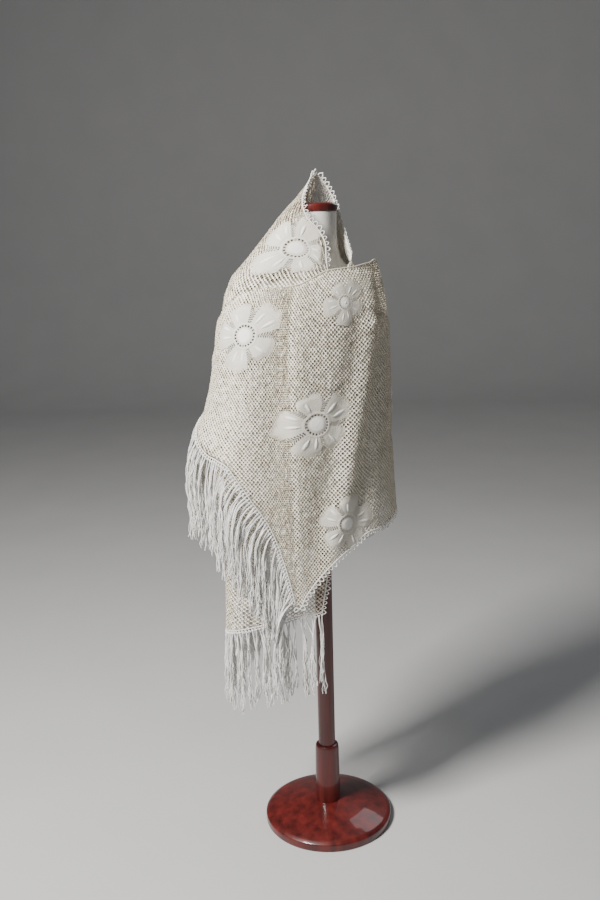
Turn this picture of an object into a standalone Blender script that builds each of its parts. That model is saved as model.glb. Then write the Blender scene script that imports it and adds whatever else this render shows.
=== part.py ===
"""Lace stole draped over a limbless dress form on a turned stand.

Metres, +Z up. The origin is the middle of the round base, on the floor.
-Y is the front and +X is the right-hand side as seen from the front.
"""

import math

import bpy
import numpy as np

# Stand, from the floor up
BASE_RADIUS = 0.160
BASE_RIM = 0.022
BASE_CROWN = 0.050
SOCKET_RADIUS = 0.031
SOCKET_TOP = 0.204
POLE_RADIUS = 0.021
SEAT_GAP = 0.0003

# Padded form
FORM_TURN = math.radians(25)
FORM_BOTTOM = 0.760
NECK_RADIUS = 0.0485
NECK_TOP = 1.5127
CAP_RADIUS = 0.0505
CAP_THICK = 0.019

# Cloth
WALL = 0.0018
SEAM = 0.0003
PICOT_PITCH = 0.0145
PICOT_HEIGHT = 0.008
PICOT_CORD = 0.0018
PICOT_BAND = 0.0015
EDGING_GAP = 0.0008
NECK_EDGING_GAP = 0.0018
FLOWER_WALL = 0.0012
FLOWER_RISE = 0.0008
CROSSING_FRINGE = 0.218
HANGING_FRINGE = 0.190
FRINGE_PITCH = 0.0105
HEADING = 0.006
STRAND_SIDE = 0.0020
# Each strand's pieces, as shares of its length
FRINGE_PIECES = (0.10, 0.22, 0.32, 0.36)
# How the strands of a fringe fall: the share of the way along the edge, how much
# they start along the cloth, the share of their length at which they hang straight
# down, and how much they stand off the cloth
CROSSING_FALL = (
    (0.0, 0.50, 0.40, 0.30), (0.30, 0.60, 0.40, 0.30), (0.50, 0.85, 0.45, 0.10),
    (0.66, 0.90, 0.50, 0.05), (0.78, 0.60, 0.35, 0.05), (0.90, 0.45, 0.35, 0.05),
    (1.0, 0.60, 1.00, 0.05),
)
HANGING_FALL = ((0.0, 0.30, 0.50, 0.10), (1.0, 0.30, 0.50, 0.02))

CLOTH_COLOUR = (0.80, 0.77, 0.70)
EDGING_COLOUR = (0.84, 0.82, 0.76)
FLOWER_COLOUR = (0.88, 0.86, 0.82)
FRINGE_COLOUR = (0.80, 0.79, 0.76)

# The form's sections: height, half width, front reach, back reach
FORM_SECTIONS = (
    (0.760, 0.140, 0.102, 0.106),
    (0.860, 0.146, 0.106, 0.112),
    (1.020, 0.112, 0.088, 0.090),
    (1.140, 0.128, 0.104, 0.096),
    (1.240, 0.140, 0.118, 0.098),
    (1.320, 0.142, 0.098, 0.096),
    (1.358, 0.134, 0.078, 0.080),
    (1.382, 0.098, 0.062, 0.064),
    (1.400, 0.066, 0.055, 0.055),
    (1.425, 0.053, 0.0505, 0.0505),
    (1.455, NECK_RADIUS, NECK_RADIUS, NECK_RADIUS),
    (NECK_TOP - SEAT_GAP, NECK_RADIUS, NECK_RADIUS, NECK_RADIUS),
)
FORM_RINGS = (
    0.760, 0.800, 0.900, 1.000, 1.080, 1.160, 1.240, 1.310, 1.345, 1.365, 1.382, 1.395,
    1.410, 1.430, 1.460, NECK_TOP - SEAT_GAP,
)
FORM_SIDES = 32

# Outer reach of the crossing layer from the neck's axis: a row for each height,
# with the height first and then the reach every 30 degrees from the front round
# by the right to the back and on by the left
REACH = (
    (0.34, 0.140, 0.140, 0.150, 0.170, 0.180, 0.170, 0.160, 0.160, 0.180, 0.232, 0.262, 0.182),
    (0.56, 0.142, 0.140, 0.150, 0.172, 0.182, 0.170, 0.160, 0.160, 0.180, 0.230, 0.264, 0.182),
    (0.70, 0.145, 0.142, 0.154, 0.175, 0.184, 0.170, 0.160, 0.160, 0.185, 0.232, 0.262, 0.182),
    (0.80, 0.146, 0.142, 0.156, 0.176, 0.184, 0.170, 0.160, 0.162, 0.200, 0.274, 0.266, 0.185),
    (0.90, 0.146, 0.141, 0.151, 0.170, 0.178, 0.165, 0.155, 0.164, 0.213, 0.302, 0.272, 0.188),
    (1.00, 0.148, 0.141, 0.149, 0.166, 0.173, 0.160, 0.151, 0.164, 0.216, 0.298, 0.266, 0.188),
    (1.10, 0.150, 0.142, 0.149, 0.164, 0.171, 0.158, 0.149, 0.162, 0.204, 0.257, 0.246, 0.185),
    (1.20, 0.152, 0.144, 0.150, 0.163, 0.169, 0.156, 0.147, 0.158, 0.192, 0.236, 0.230, 0.180),
    (1.28, 0.146, 0.139, 0.147, 0.160, 0.166, 0.153, 0.143, 0.154, 0.184, 0.226, 0.218, 0.170),
    (1.34, 0.132, 0.125, 0.136, 0.151, 0.158, 0.144, 0.133, 0.145, 0.173, 0.214, 0.201, 0.152),
    (1.38, 0.114, 0.116, 0.128, 0.142, 0.148, 0.131, 0.118, 0.130, 0.159, 0.196, 0.179, 0.130),
    (1.41, 0.096, 0.104, 0.117, 0.132, 0.136, 0.117, 0.102, 0.115, 0.142, 0.172, 0.152, 0.108),
)

# How far the inner layer lies inside the crossing layer, in the same columns
INSET = (
    (0.34, 0.015, 0.009, 0.009, 0.000, 0.000, 0.000, 0.000, 0.000, 0.000, 0.010, 0.012, 0.016),
    (0.75, 0.015, 0.010, 0.009, 0.000, 0.000, 0.000, 0.000, 0.000, 0.007, 0.023, 0.015, 0.017),
    (0.92, 0.015, 0.011, 0.011, 0.006, 0.000, 0.000, 0.000, 0.000, 0.016, 0.058, 0.027, 0.017),
    (1.10, 0.013, 0.012, 0.012, 0.008, 0.000, 0.000, 0.000, 0.000, 0.012, 0.023, 0.019, 0.015),
    (1.30, 0.010, 0.010, 0.011, 0.007, 0.000, 0.000, 0.000, 0.000, 0.009, 0.010, 0.010, 0.011),
    (1.41, 0.009, 0.009, 0.009, 0.006, 0.000, 0.000, 0.000, 0.000, 0.009, 0.009, 0.009, 0.009),
)

# Main folds: turn and height of the top, turn and height of the foot, half the
# width in degrees, and the rise, which is below zero for a trough. A fold fades
# in over its first part and dies out past its foot
FADE_IN = (-0.05, 12)
FADE_OUT = (1.35, 9)
CROSSING_FOLDS = (
    (62, 1.33, 18, 0.86, 9, 0.007),
    (74, 1.30, 40, 0.88, 11, -0.007),
    (38, 1.30, 2, 0.90, 9, -0.004),
    (-16, 1.26, -18, 0.82, 8, 0.005),
    (-30, 1.24, -34, 0.88, 8, -0.007),
    (-44, 1.24, -50, 0.96, 8, 0.006),
    (-58, 1.22, -66, 1.02, 8, -0.005),
    (96, 1.30, 92, 0.82, 9, 0.004),
)
HANGING_FOLDS = (
    (-10, 0.95, -8, 0.50, 6, 0.004),
    (-22, 0.95, -20, 0.50, 6, -0.005),
    (-34, 0.95, -33, 0.50, 6, 0.005),
    (-46, 0.95, -45, 0.50, 5, -0.006),
    (-84, 0.95, -82, 0.45, 8, -0.008),
    (-106, 0.95, -104, 0.45, 9, 0.006),
)
BACK_FOLDS = (
    (150, 1.30, 140, 0.86, 9, -0.006),
    (172, 1.30, 166, 0.88, 9, 0.006),
    (194, 1.30, 196, 0.88, 9, -0.006),
    (216, 1.28, 220, 0.84, 10, 0.006),
)

# Edges of the stretches: turn from the front in degrees, and height
CROSSING_TOP = (
    (125, 1.3800), (104, 1.3800), (92, 1.402), (66, 1.400), (42, 1.394), (26, 1.392),
    (10, 1.388), (-4, 1.376), (-18, 1.362), (-34, 1.357), (-48, 1.357), (-62, 1.336),
    (-78, 1.285), (-95, 1.235), (-114, 1.200),
)
CROSSING_FOOT = (
    (125, 0.850), (105, 0.832), (88, 0.815), (66, 0.799), (56, 0.797), (46, 0.795),
    (37, 0.782), (28, 0.765), (16, 0.750), (5, 0.728), (-6, 0.697), (-15, 0.664),
    (-22, 0.634), (-27, 0.705), (-33, 0.782), (-38, 0.838), (-43, 0.884), (-48, 0.930),
    (-53, 0.966), (-60, 0.980), (-68, 0.988), (-75, 1.010), (-83, 1.045), (-94, 1.085),
    (-114, 1.130),
)
BACK_FOOT = (
    (-235, 0.850), (-210, 0.880), (-180, 0.905), (-165, 0.905), (-150, 0.890),
)
HANGING_FOOT = (
    (9, 0.612), (-20, 0.604), (-40, 0.588), (-54, 0.572), (-66, 0.560), (-84, 0.572),
    (-106, 0.600), (-126, 0.680), (-150, 0.890),
)

# Neck edge of the stole, from the crossing up the left of the neck to the peak
# behind it and down its right: x, y, z, the turn of its foot on the shoulder
# seam, and how hollow the cloth lies below it
NECK_EDGE = (
    (0.023, -0.0870, 1.388, 9, 0.0),
    (0.021, -0.0800, 1.414, -4, 0.0),
    (0.019, -0.0730, 1.448, -20, 0.0),
    (0.003, -0.0680, 1.477, -36, 0.0),
    (-0.017, -0.0660, 1.499, -52, 0.0),
    (-0.026, -0.0600, 1.520, -68, 0.0),
    (-0.027, -0.0420, 1.541, -86, 0.0),
    (-0.021, -0.0080, 1.561, -106, 0.05),
    (-0.010, 0.0320, 1.580, -136, 0.0),
    (0.006, 0.0680, 1.595, -176, 0.3),
    (0.026, 0.0680, 1.573, -206, 0.8),
    (0.044, 0.0580, 1.540, -228, 1.0),
    (0.0565, 0.0360, 1.502, -246, 1.0),
    (0.0640, 0.0080, 1.470, -260, 1.0),
    (0.0720, -0.0260, 1.438, -276, 1.0),
    (0.0770, -0.0540, 1.412, -296, 0.8),
    (0.0690, -0.0730, 1.395, -317, 0.5),
)
SHOULDER_SEAM = 1.3803
HOLLOW_DROP = 1.6
# Where the fold rides over the neck cap: turn, half width in degrees, and lift
OVER_CAP = (-104, 42, 0.0154)
NECK_FOLD_ROWS = 9
PEAK_OPEN = 0.30
HANG_TOP = 1.10
HANGING_SHOWS = 0.80
# Turns that bound the stretches of the crossing half
CROSSING_ENDS = (125, 58.5, -22, -63, -114)

# Front edge of the hanging end: height, and turn from the front
HANGING_EDGE = ((0.55, -7), (0.612, -3), (0.666, 1), (0.739, 5.6), (0.90, 8), (1.10, 9))

# Flower medallions: name, turn, height, radius, lift off the cloth, panel. On the
# neck fold the height is a share of the way down it
PETALS = 7
FLOWER_RINGS = (0.15, 0.54, 0.68, 1.0)
NOTCH = 0.86
NECK_FLOWER_REACH = 0.095
NECK_FLOWER_FALL = 0.125
FLOWERS = (
    ("flower_neck", -40, 0.47, 0.056, 0.0024, "neck_fold_left"),
    ("flower_left_breast", -50, 1.256, 0.068, 0.0030, "crossing_left"),
    ("flower_front", -3, 1.060, 0.070, 0.0034, "crossing_front"),
    ("flower_front_hem", 23, 0.836, 0.060, 0.0032, "crossing_front"),
    ("flower_right_breast", 27, 1.320, 0.056, 0.0016, "crossing_front"),
    ("flower_right_side", 105, 1.080, 0.050, 0.0022, "crossing_front"),
    ("flower_back_right", -200, 1.060, 0.070, 0.0027, "back"),
    ("flower_back_left", -176, 1.270, 0.066, 0.0022, "back"),
)


def add_material(name, colour, roughness, coat=0.0):
    """A plain Principled material."""
    material = bpy.data.materials.new(name)
    material.use_nodes = True
    shader = material.node_tree.nodes["Principled BSDF"]
    shader.inputs["Base Color"].default_value = (*colour, 1.0)
    shader.inputs["Roughness"].default_value = roughness
    shader.inputs["Coat Weight"].default_value = coat
    return material


def volume(points, faces):
    """Six times the volume inside the faces, below zero if they point in."""
    points = np.asarray(points, float)
    total = 0.0
    for face in faces:
        for second, third in zip(face[1:-1], face[2:]):
            total += points[face[0]].dot(np.cross(points[second], points[third]))
    return total


def add_solid(name, points, faces, colour, roughness, coat=0.0):
    """One object from points and faces that point out, with a material of its own."""
    if volume(points, faces) < 0:
        faces = [tuple(reversed(face)) for face in faces]
    mesh = bpy.data.meshes.new(name)
    mesh.from_pydata([tuple(map(float, point)) for point in points], [], faces)
    mesh.validate()
    mesh.materials.append(add_material(name + "_finish", colour, roughness, coat))
    mesh.shade_smooth()
    mesh.set_sharp_from_angle(angle=math.radians(40))
    solid = bpy.data.objects.new(name, mesh)
    bpy.context.scene.collection.objects.link(solid)
    return solid


def smooth_curve(at, places, values):
    """A smooth line through the values at rising places, level past its ends."""
    places = np.asarray(places, float)
    values = np.asarray(values, float)
    at = np.clip(np.asarray(at, float), places[0], places[-1])
    steps = np.diff(places)
    slopes = np.diff(values, axis=0)
    slopes = slopes / steps.reshape((-1,) + (1,) * (values.ndim - 1))
    lean = np.empty_like(values)
    lean[0], lean[-1] = slopes[0], slopes[-1]
    lean[1:-1] = (slopes[:-1] + slopes[1:]) / 2
    k = np.clip(np.searchsorted(places, at, side="right") - 1, 0, len(steps) - 1)
    span = steps[k]
    t = (at - places[k]) / span
    shape = at.shape + (1,) * (values.ndim - 1)
    t, span = t.reshape(shape), span.reshape(shape)
    start, end = values[k], values[k + 1]
    a, b = lean[k] * span, lean[k + 1] * span
    return (
        start * (2 * t**3 - 3 * t**2 + 1)
        + a * (t**3 - 2 * t**2 + t)
        + end * (3 * t**2 - 2 * t**3)
        + b * (t**3 - t**2)
    )


def edge_height(edge, turn):
    """Height of an edge at each turn, from its table."""
    rows = sorted(edge)
    return smooth_curve(turn, [row[0] for row in rows], [row[1] for row in rows])


def ring_value(table, turn, height):
    """A table's value at a turn in degrees and a height, smooth both ways."""
    rows = np.array([row[1:] for row in table])
    heights = [row[0] for row in table]
    ring = np.concatenate([rows[:, -2:], rows, rows[:, :3]], axis=1)
    turns = np.arange(-60, 421, 30)
    turn, height = np.broadcast_arrays(np.mod(turn, 360.0), np.asarray(height, float))
    at_height = smooth_curve(height.ravel(), heights, ring)
    found = [
        smooth_curve(one_turn, turns, row)
        for one_turn, row in zip(turn.ravel(), at_height)
    ]
    return np.array(found).reshape(turn.shape)


def fold_rise(folds, turn, height):
    """How far the folds lift the cloth at a turn and a height."""
    turn = np.asarray(turn, float)
    rise = np.zeros(np.broadcast(turn, height).shape)
    for top_turn, top, foot_turn, foot, half_width, lift in folds:
        down = (top - height) / (top - foot)
        middle = top_turn + (foot_turn - top_turn) * down
        away = np.mod(turn - middle + 180, 360) - 180
        fade_in = 1 / (1 + np.exp(-FADE_IN[1] * (down - FADE_IN[0])))
        fade = fade_in / (1 + np.exp(FADE_OUT[1] * (down - FADE_OUT[0])))
        rise = rise + lift * fade * np.exp(-((away / half_width) ** 2))
    return rise


LAYER_FOLDS = {
    "crossing": CROSSING_FOLDS + BACK_FOLDS,
    "inner": HANGING_FOLDS + BACK_FOLDS,
    "back": BACK_FOLDS,
}


def cloth_point(layer, turn, height, out=0.0):
    """Points on a layer's outer face, moved out level by the given distance."""
    turn, height = np.broadcast_arrays(np.asarray(turn, float), np.asarray(height, float))
    reach = ring_value(REACH, turn, height) + fold_rise(LAYER_FOLDS[layer], turn, height)
    if layer == "inner":
        reach = reach - ring_value(INSET, turn, height)
    reach = reach + out
    angle = np.radians(turn)
    return np.stack([reach * np.sin(angle), -reach * np.cos(angle), height], axis=-1)


def unit(vectors):
    return vectors / np.linalg.norm(vectors, axis=-1, keepdims=True)


def cloth_normal(layer, turn, height):
    """Unit normals of a layer, pointing out."""
    around = cloth_point(layer, turn + 0.5, height) - cloth_point(layer, turn - 0.5, height)
    up = cloth_point(layer, turn, height + 0.003) - cloth_point(layer, turn, height - 0.003)
    return unit(np.cross(around, up))


def wall_faces(faces, count):
    """Both sides and the rims of a wall, from its outer faces."""
    used = set()
    for face in faces:
        used.update(zip(face, face[1:] + face[:1]))
    walls = [tuple(face) for face in faces]
    walls += [tuple(count + corner for corner in reversed(face)) for face in faces]
    walls += [
        (end, start, count + start, count + end)
        for start, end in sorted(used)
        if (end, start) not in used
    ]
    return walls


def add_wall(name, outer, inner, faces, colour=CLOTH_COLOUR, roughness=0.85):
    """A closed wall between outer and inner points that share one set of faces."""
    outer = np.asarray(outer).reshape(-1, 3)
    inner = np.asarray(inner).reshape(-1, 3)
    points = np.concatenate([outer, inner])
    solid_faces = wall_faces([list(face) for face in faces], len(outer))
    return add_solid(name, points, solid_faces, colour, roughness)


def grid_faces(columns, rows):
    """Quads of a grid whose points run down each column in turn."""
    faces = []
    for i in range(columns - 1):
        for j in range(rows - 1):
            a, b = i * rows + j, (i + 1) * rows + j
            faces.append([a, a + 1, b + 1, b])
    return faces


class Panel:
    """A stretch of cloth: its columns of outer points, from the top edge down."""

    def __init__(self, turns, levels, grid, normals):
        order = np.argsort(turns[:, 0])
        self.turns, self.levels = turns[order], levels[order]
        self.grid, self.normals = grid[order], normals[order]

    def column(self, index, level):
        """Point and normal at a level of one column."""
        levels = self.levels[index]
        rising = levels[-1] > levels[0]
        at = np.interp(level, levels if rising else levels[::-1], np.arange(len(levels)))
        at = at if rising else len(levels) - 1 - at
        low = min(int(at), len(levels) - 2)
        part = at - low
        point = self.grid[index, low] * (1 - part) + self.grid[index, low + 1] * part
        normal = self.normals[index, low] * (1 - part) + self.normals[index, low + 1] * part
        return point, normal

    def place(self, turn, level, out):
        """A point of the faceted panel, moved out along the cloth's normal."""
        turns = self.turns[:, 0]
        index = int(np.clip(np.searchsorted(turns, turn) - 1, 0, len(turns) - 2))
        part = float(np.clip((turn - turns[index]) / (turns[index + 1] - turns[index]), 0, 1))
        near, near_normal = self.column(index, level)
        far, far_normal = self.column(index + 1, level)
        point = near * (1 - part) + far * part
        return point + unit(near_normal * (1 - part) + far_normal * part) * out


PANELS = {}


def add_sheet(name, turns, levels, grid, normals):
    """A cloth wall on a grid of outer points, thickened to its inner side."""
    PANELS[name] = Panel(turns, levels, grid, normals)
    faces = grid_faces(*grid.shape[:2])
    add_wall(name, grid, grid - normals * WALL, faces)


def add_stretch(name, layer, turns, tops, feet, rows):
    """A stretch of one layer between its top edge and its foot."""
    heights = tops[:, None] + (feet - tops)[:, None] * np.linspace(0, 1, rows)[None, :]
    if np.ndim(turns) == 1:
        turns = np.broadcast_to(turns[:, None], heights.shape)
    grid = cloth_point(layer, turns, heights)
    add_sheet(name, turns, heights, grid, cloth_normal(layer, turns, heights))


def trimmed(turns, gap_degrees=0.07):
    """Turns of one stretch, its ends drawn in to leave the seams open."""
    turns = np.array(turns, float)
    turns[0] -= gap_degrees
    turns[-1] += gap_degrees
    return turns


def add_crossing():
    """The outer half: round the right side, over the front, round the left."""
    side, chest, left, drop, end = CROSSING_ENDS
    wide = np.concatenate([np.linspace(side, chest, 11)[:-1], np.linspace(chest, left, 18)])
    for name, turns, rows in (
        ("crossing_front", wide, 13),
        ("crossing_left", np.linspace(left, drop, 10), 13),
        ("crossing_end", np.linspace(drop, end, 14), 5),
    ):
        turns = trimmed(turns)
        tops = edge_height(CROSSING_TOP, turns)
        feet = edge_height(CROSSING_FOOT, turns)
        add_stretch(name, "crossing", turns, tops, feet, rows)


# Columns shared by the neck fold and the stretches sewn below it
LEFT_TURNS = np.linspace(9, -150, 21)
BACK_TURNS = np.linspace(-150, -235, 12)
PEAK_TURN = float(BACK_TURNS[3])
RIGHT_TURNS = np.linspace(-235, -317, 10)


def add_back():
    """The back, from the shoulder seam to the hem."""
    turns = trimmed(BACK_TURNS)
    tops = np.full(len(turns), SHOULDER_SEAM - SEAM)
    feet = edge_height(BACK_FOOT, turns)
    add_stretch("back", "back", turns, tops, feet, 9)


def add_inner_half():
    """The inner half: the left shoulder, then the end that hangs below it."""
    turns = trimmed(LEFT_TURNS)
    tops = np.full(len(turns), SHOULDER_SEAM - SEAM)
    add_stretch("left_shoulder", "inner", turns, tops, np.full(len(turns), HANG_TOP), 6)
    rows = 9
    feet = edge_height(HANGING_FOOT, turns)
    tops = np.full(len(turns), HANG_TOP - SEAM)
    add_stretch("hanging_end", "inner", hanging_turns(turns, tops, feet, rows), tops, feet, rows)


def hanging_turns(turns, tops, feet, rows):
    """Turns of the hanging end, whose front edge leans as it comes down."""
    heights = tops[:, None] + (feet - tops)[:, None] * np.linspace(0, 1, rows)[None, :]
    lean = edge_height(HANGING_EDGE, heights) - HANGING_EDGE[-1][1]
    share = ((turns - turns[-1]) / (turns[0] - turns[-1]))[:, None]
    return turns[:, None] + lean * share**2


def neck_fold_point(turn, down):
    """A point of the neck fold, by its turn at the seam and its share of the way down."""
    turn, down = np.broadcast_arrays(np.asarray(turn, float), np.asarray(down, float))
    down = np.clip(down, 0, 1)
    rows = np.array(NECK_EDGE)[::-1]
    top = smooth_curve(turn, rows[:, 3], rows[:, :3])
    hollow = smooth_curve(turn, rows[:, 3], rows[:, 4])
    foot = cloth_point("inner", turn, SHOULDER_SEAM)
    sideways = (down ** (1 + hollow))[..., None]
    downward = 1 - (1 - down) ** (1 + HOLLOW_DROP * hollow)
    point = top + (foot - top) * sideways
    point[..., 2] = top[..., 2] + (foot[..., 2] - top[..., 2]) * downward
    cap_turn, cap_width, cap_lift = OVER_CAP
    over_cap = np.exp(-(((turn - cap_turn) / cap_width) ** 2)) * np.sin(math.pi * down**0.55) ** 2
    point[..., 2] += cap_lift * over_cap
    return point


def neck_fold_normal(turn, down):
    """Unit normals of the neck fold, those of the next stretch at its foot."""
    across = neck_fold_point(turn + 0.5, down) - neck_fold_point(turn - 0.5, down)
    above, below = np.clip(down - 0.01, 0, 1), np.clip(down + 0.01, 0, 1)
    up = neck_fold_point(turn, above) - neck_fold_point(turn, below)
    normals = unit(np.cross(across, up))
    at_seam = (down >= 1)[..., None]
    return np.where(at_seam, cloth_normal("inner", turn, np.full(turn.shape, SHOULDER_SEAM)), normals)


def add_neck_fold():
    """The stretches that stand round the neck and meet at the peak behind it."""
    down = np.linspace(0, 1, NECK_FOLD_ROWS) ** 1.3
    for name, turns, ends in (
        ("neck_fold_left", np.concatenate([LEFT_TURNS, BACK_TURNS[1:4]]), (0, 1)),
        ("neck_fold_right", np.concatenate([BACK_TURNS[3:], RIGHT_TURNS[1:]]), (1, 0)),
    ):
        turns, downs = np.meshgrid(trimmed(turns), down, indexing="ij")
        turns[0] -= ends[0] * PEAK_OPEN * (1 - down)
        turns[-1] += ends[1] * PEAK_OPEN * (1 - down)
        points, normals = neck_fold_point(turns, downs), neck_fold_normal(turns, downs)
        add_sheet(name, turns, downs, points, normals)


class Edge:
    """An even line along an edge, with the cloth's normals and the way out."""

    def __init__(self, points, normals, pitch, out_side):
        steps = np.linalg.norm(np.diff(points, axis=0), axis=1)
        run = np.concatenate([[0], np.cumsum(steps)])
        self.count = max(2, int(round(run[-1] / pitch)))
        self.at = np.linspace(0, run[-1], self.count + 1)
        self.run, self.points, self.normals, self.side = run, points, normals, out_side

    def along(self, values, at):
        """The points or the normals at a length along the edge."""
        return np.array([np.interp(at, self.run, values[:, k]) for k in range(3)])

    def frame(self, at, reach=0.004):
        """Point, outward way, normal and tangent at a length along the edge."""
        ahead = self.along(self.points, min(at + reach, self.run[-1]))
        behind = self.along(self.points, max(at - reach, 0))
        normal = unit(self.along(self.normals, at))
        tangent = unit((ahead - behind) - normal * (ahead - behind).dot(normal))
        point = self.along(self.points, at)
        return point, np.cross(normal, tangent) * self.side, normal, tangent

    def place(self, at, out, lift=0.0):
        """A point a little way out from the edge, lifted off the cloth's face."""
        point, outward, normal, _tangent = self.frame(at)
        return point + outward * out + normal * lift


def panel_edge(names, row, pitch, out_side, turns=(-400, 400)):
    """The top or foot edge of one or more panels, between two turns."""
    points, normals = [], []
    for name in names:
        panel = PANELS[name]
        chosen = (panel.turns[:, row] > turns[0]) & (panel.turns[:, row] < turns[1])
        points.append(panel.grid[chosen, row])
        normals.append(panel.normals[chosen, row])
    return Edge(np.concatenate(points), np.concatenate(normals), pitch, out_side)


def add_picots(name, edge, gap=EDGING_GAP):
    """A crocheted edging: a narrow band with a pointed open loop on each stitch."""
    band = gap + PICOT_BAND
    low, high = -PICOT_CORD, 0.0
    spots, faces = [], []
    for at in edge.at:
        spots += [(at, gap), (at, band)]
    for k in range(edge.count):
        start, end = edge.at[k], edge.at[k + 1]
        middle = (start + end) / 2
        first = len(spots)
        spots += [
            (start + PICOT_CORD * 1.1, band), (end - PICOT_CORD * 1.1, band),
            (middle, band + PICOT_HEIGHT), (middle, band + PICOT_HEIGHT - PICOT_CORD * 1.9),
        ]
        near, far = 2 * k, 2 * k + 2
        faces.append([near, far, far + 1, first + 1, first, near + 1])
        faces.append([near + 1, first, first + 3, first + 2])
        faces.append([first + 1, far + 1, first + 2, first + 3])
    outer = np.array([edge.place(at, out, high) for at, out in spots])
    inner = np.array([edge.place(at, out, low) for at, out in spots])
    add_wall(name, outer, inner, faces, EDGING_COLOUR)


def add_edgings():
    """The picots round the neck, along the hems and down the hanging end."""
    add_picots("picots_neck_left", panel_edge(
        ["neck_fold_left"], 0, PICOT_PITCH, 1
    ), NECK_EDGING_GAP)
    add_picots("picots_neck_right", panel_edge(
        ["neck_fold_right"], 0, PICOT_PITCH, 1, (-297, 0)
    ), NECK_EDGING_GAP)
    add_picots("picots_crossing", panel_edge(["crossing_front"], -1, PICOT_PITCH, -1))
    add_picots("picots_back", panel_edge(["back"], -1, PICOT_PITCH * 1.3, -1))
    panel = PANELS["hanging_end"]
    shows = panel.levels[-1] < HANGING_SHOWS
    points, normals = panel.grid[-1][shows], panel.normals[-1][shows]
    add_picots("picots_hanging", Edge(points, normals, PICOT_PITCH, 1))


def flower_place(panel, turn, level, along, up, out):
    """A point of a flower, set off along and up from its middle, lifted off the cloth."""
    if panel.startswith("neck"):
        at_turn = turn + math.degrees(along / NECK_FLOWER_REACH)
        return PANELS[panel].place(at_turn, level - up / NECK_FLOWER_FALL, out)
    reach = float(ring_value(REACH, turn, level))
    at_turn = turn + math.degrees(along / reach)
    if panel == "crossing_front" and at_turn < PANELS[panel].turns[0, 0]:
        panel = "crossing_left"
    elif panel == "crossing_left" and at_turn > PANELS[panel].turns[-1, 0]:
        panel = "crossing_front"
    elif panel == "crossing_left" and at_turn < PANELS[panel].turns[0, 0]:
        panel = "crossing_end"
    return PANELS[panel].place(at_turn, level + up, out)


def add_flower(name, turn, height, radius, lift, panel):
    """A flower medallion: seven petals round an open eye, with openwork between them."""
    spokes = PETALS * 2
    outer, inner = [], []
    for spoke in range(spokes):
        angle = 2 * math.pi * (spoke + 0.5) / spokes
        between = spoke % 2 == 0
        for ring in FLOWER_RINGS:
            tip = NOTCH if ring == FLOWER_RINGS[-1] and between else 1.0
            along = radius * ring * tip * math.sin(angle)
            up = radius * ring * tip * math.cos(angle)
            raised = FLOWER_RISE if ring in FLOWER_RINGS[1:3] and not between else 0.0
            face_out = lift + FLOWER_WALL + raised
            outer.append(flower_place(panel, turn, height, along, up, face_out))
            inner.append(flower_place(panel, turn, height, along, up, lift))
    faces = []
    count = len(FLOWER_RINGS)
    for spoke in range(spokes):
        after = (spoke + 1) % spokes
        for ring in range(count - 1):
            if ring == 1 and spoke % 2 == 0:
                continue
            a, b = spoke * count + ring, after * count + ring
            faces.append([a, b, b + 1, a + 1])
    add_wall(name, outer, inner, faces, FLOWER_COLOUR)


def heading_strip(edge):
    """Points and faces of the strip that the strands are knotted into.

    Half of each outer face stays open for the strand that grows out of it.
    """
    wide = EDGING_GAP + HEADING
    points, faces = [], [[0, 1, 3, 2]]
    for at in edge.at:
        points += [
            edge.place(at, EDGING_GAP, 0), edge.place(at, EDGING_GAP, -WALL),
            edge.place(at, wide, 0), edge.place(at, wide, -WALL),
        ]
    last = edge.count * 4
    faces.append([last, last + 2, last + 3, last + 1])
    for k in range(edge.count):
        a, b = k * 4, k * 4 + 4
        faces.append([a, a + 2, b + 2, b])
        faces.append([a + 1, b + 1, b + 3, a + 3])
        faces.append([a, b, b + 1, a + 1])
        faces.append([b + 2, a + 3, b + 3])
    return points, faces


def strand_ring(place, heading, tangent, normal):
    """The three corners of a strand at one place."""
    side = unit(tangent - heading * tangent.dot(heading))
    face_out = np.cross(heading, side)
    if face_out.dot(normal) < 0:
        face_out = -face_out
    size = STRAND_SIDE / 2
    return [
        place - side * size + face_out * size * 0.6,
        place - side * size * 0.2 - face_out * size,
        place + side * size + face_out * size * 0.6,
    ]


def add_fringe(name, edge, length, fall):
    """Knotted strands that leave a heading strip and hang, each from its own root."""
    points, faces = heading_strip(edge)
    down = np.array([0.0, 0.0, -1.0])
    shares = [row[0] for row in fall]
    ways = [row[1:] for row in fall]
    for k in range(edge.count):
        before = [k * 4 + 2, k * 4 + 3, k * 4 + 6]
        place = np.mean([points[corner] for corner in before], axis=0)
        _point, outward, normal, tangent = edge.frame((edge.at[k] + edge.at[k + 1]) / 2)
        share = k / (edge.count - 1)
        sweep, straight, flare = smooth_curve(share, shares, ways)
        own = length * (1 + 0.05 * math.sin(2.3 * k) + 0.04 * math.sin(0.7 * k + 1))
        gone = 0.0
        for piece in FRINGE_PIECES:
            bend = min(1.0, gone / straight)
            gone += piece
            away = normal * flare * (1 - bend)
            heading = unit(outward * (1 - bend) * sweep + down * (bend + 1 - sweep) + away)
            place = place + heading * own * piece
            if piece == FRINGE_PIECES[-1]:
                points.append(place)
                tip = len(points) - 1
                faces += [[before[i], before[(i + 1) % 3], tip] for i in range(3)]
                continue
            ring = list(range(len(points), len(points) + 3))
            points += strand_ring(place, heading, tangent, normal)
            faces += [
                [before[i], before[(i + 1) % 3], ring[(i + 1) % 3], ring[i]] for i in range(3)
            ]
            before = ring
    add_solid(name, points, faces, FRINGE_COLOUR, 0.6)


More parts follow.
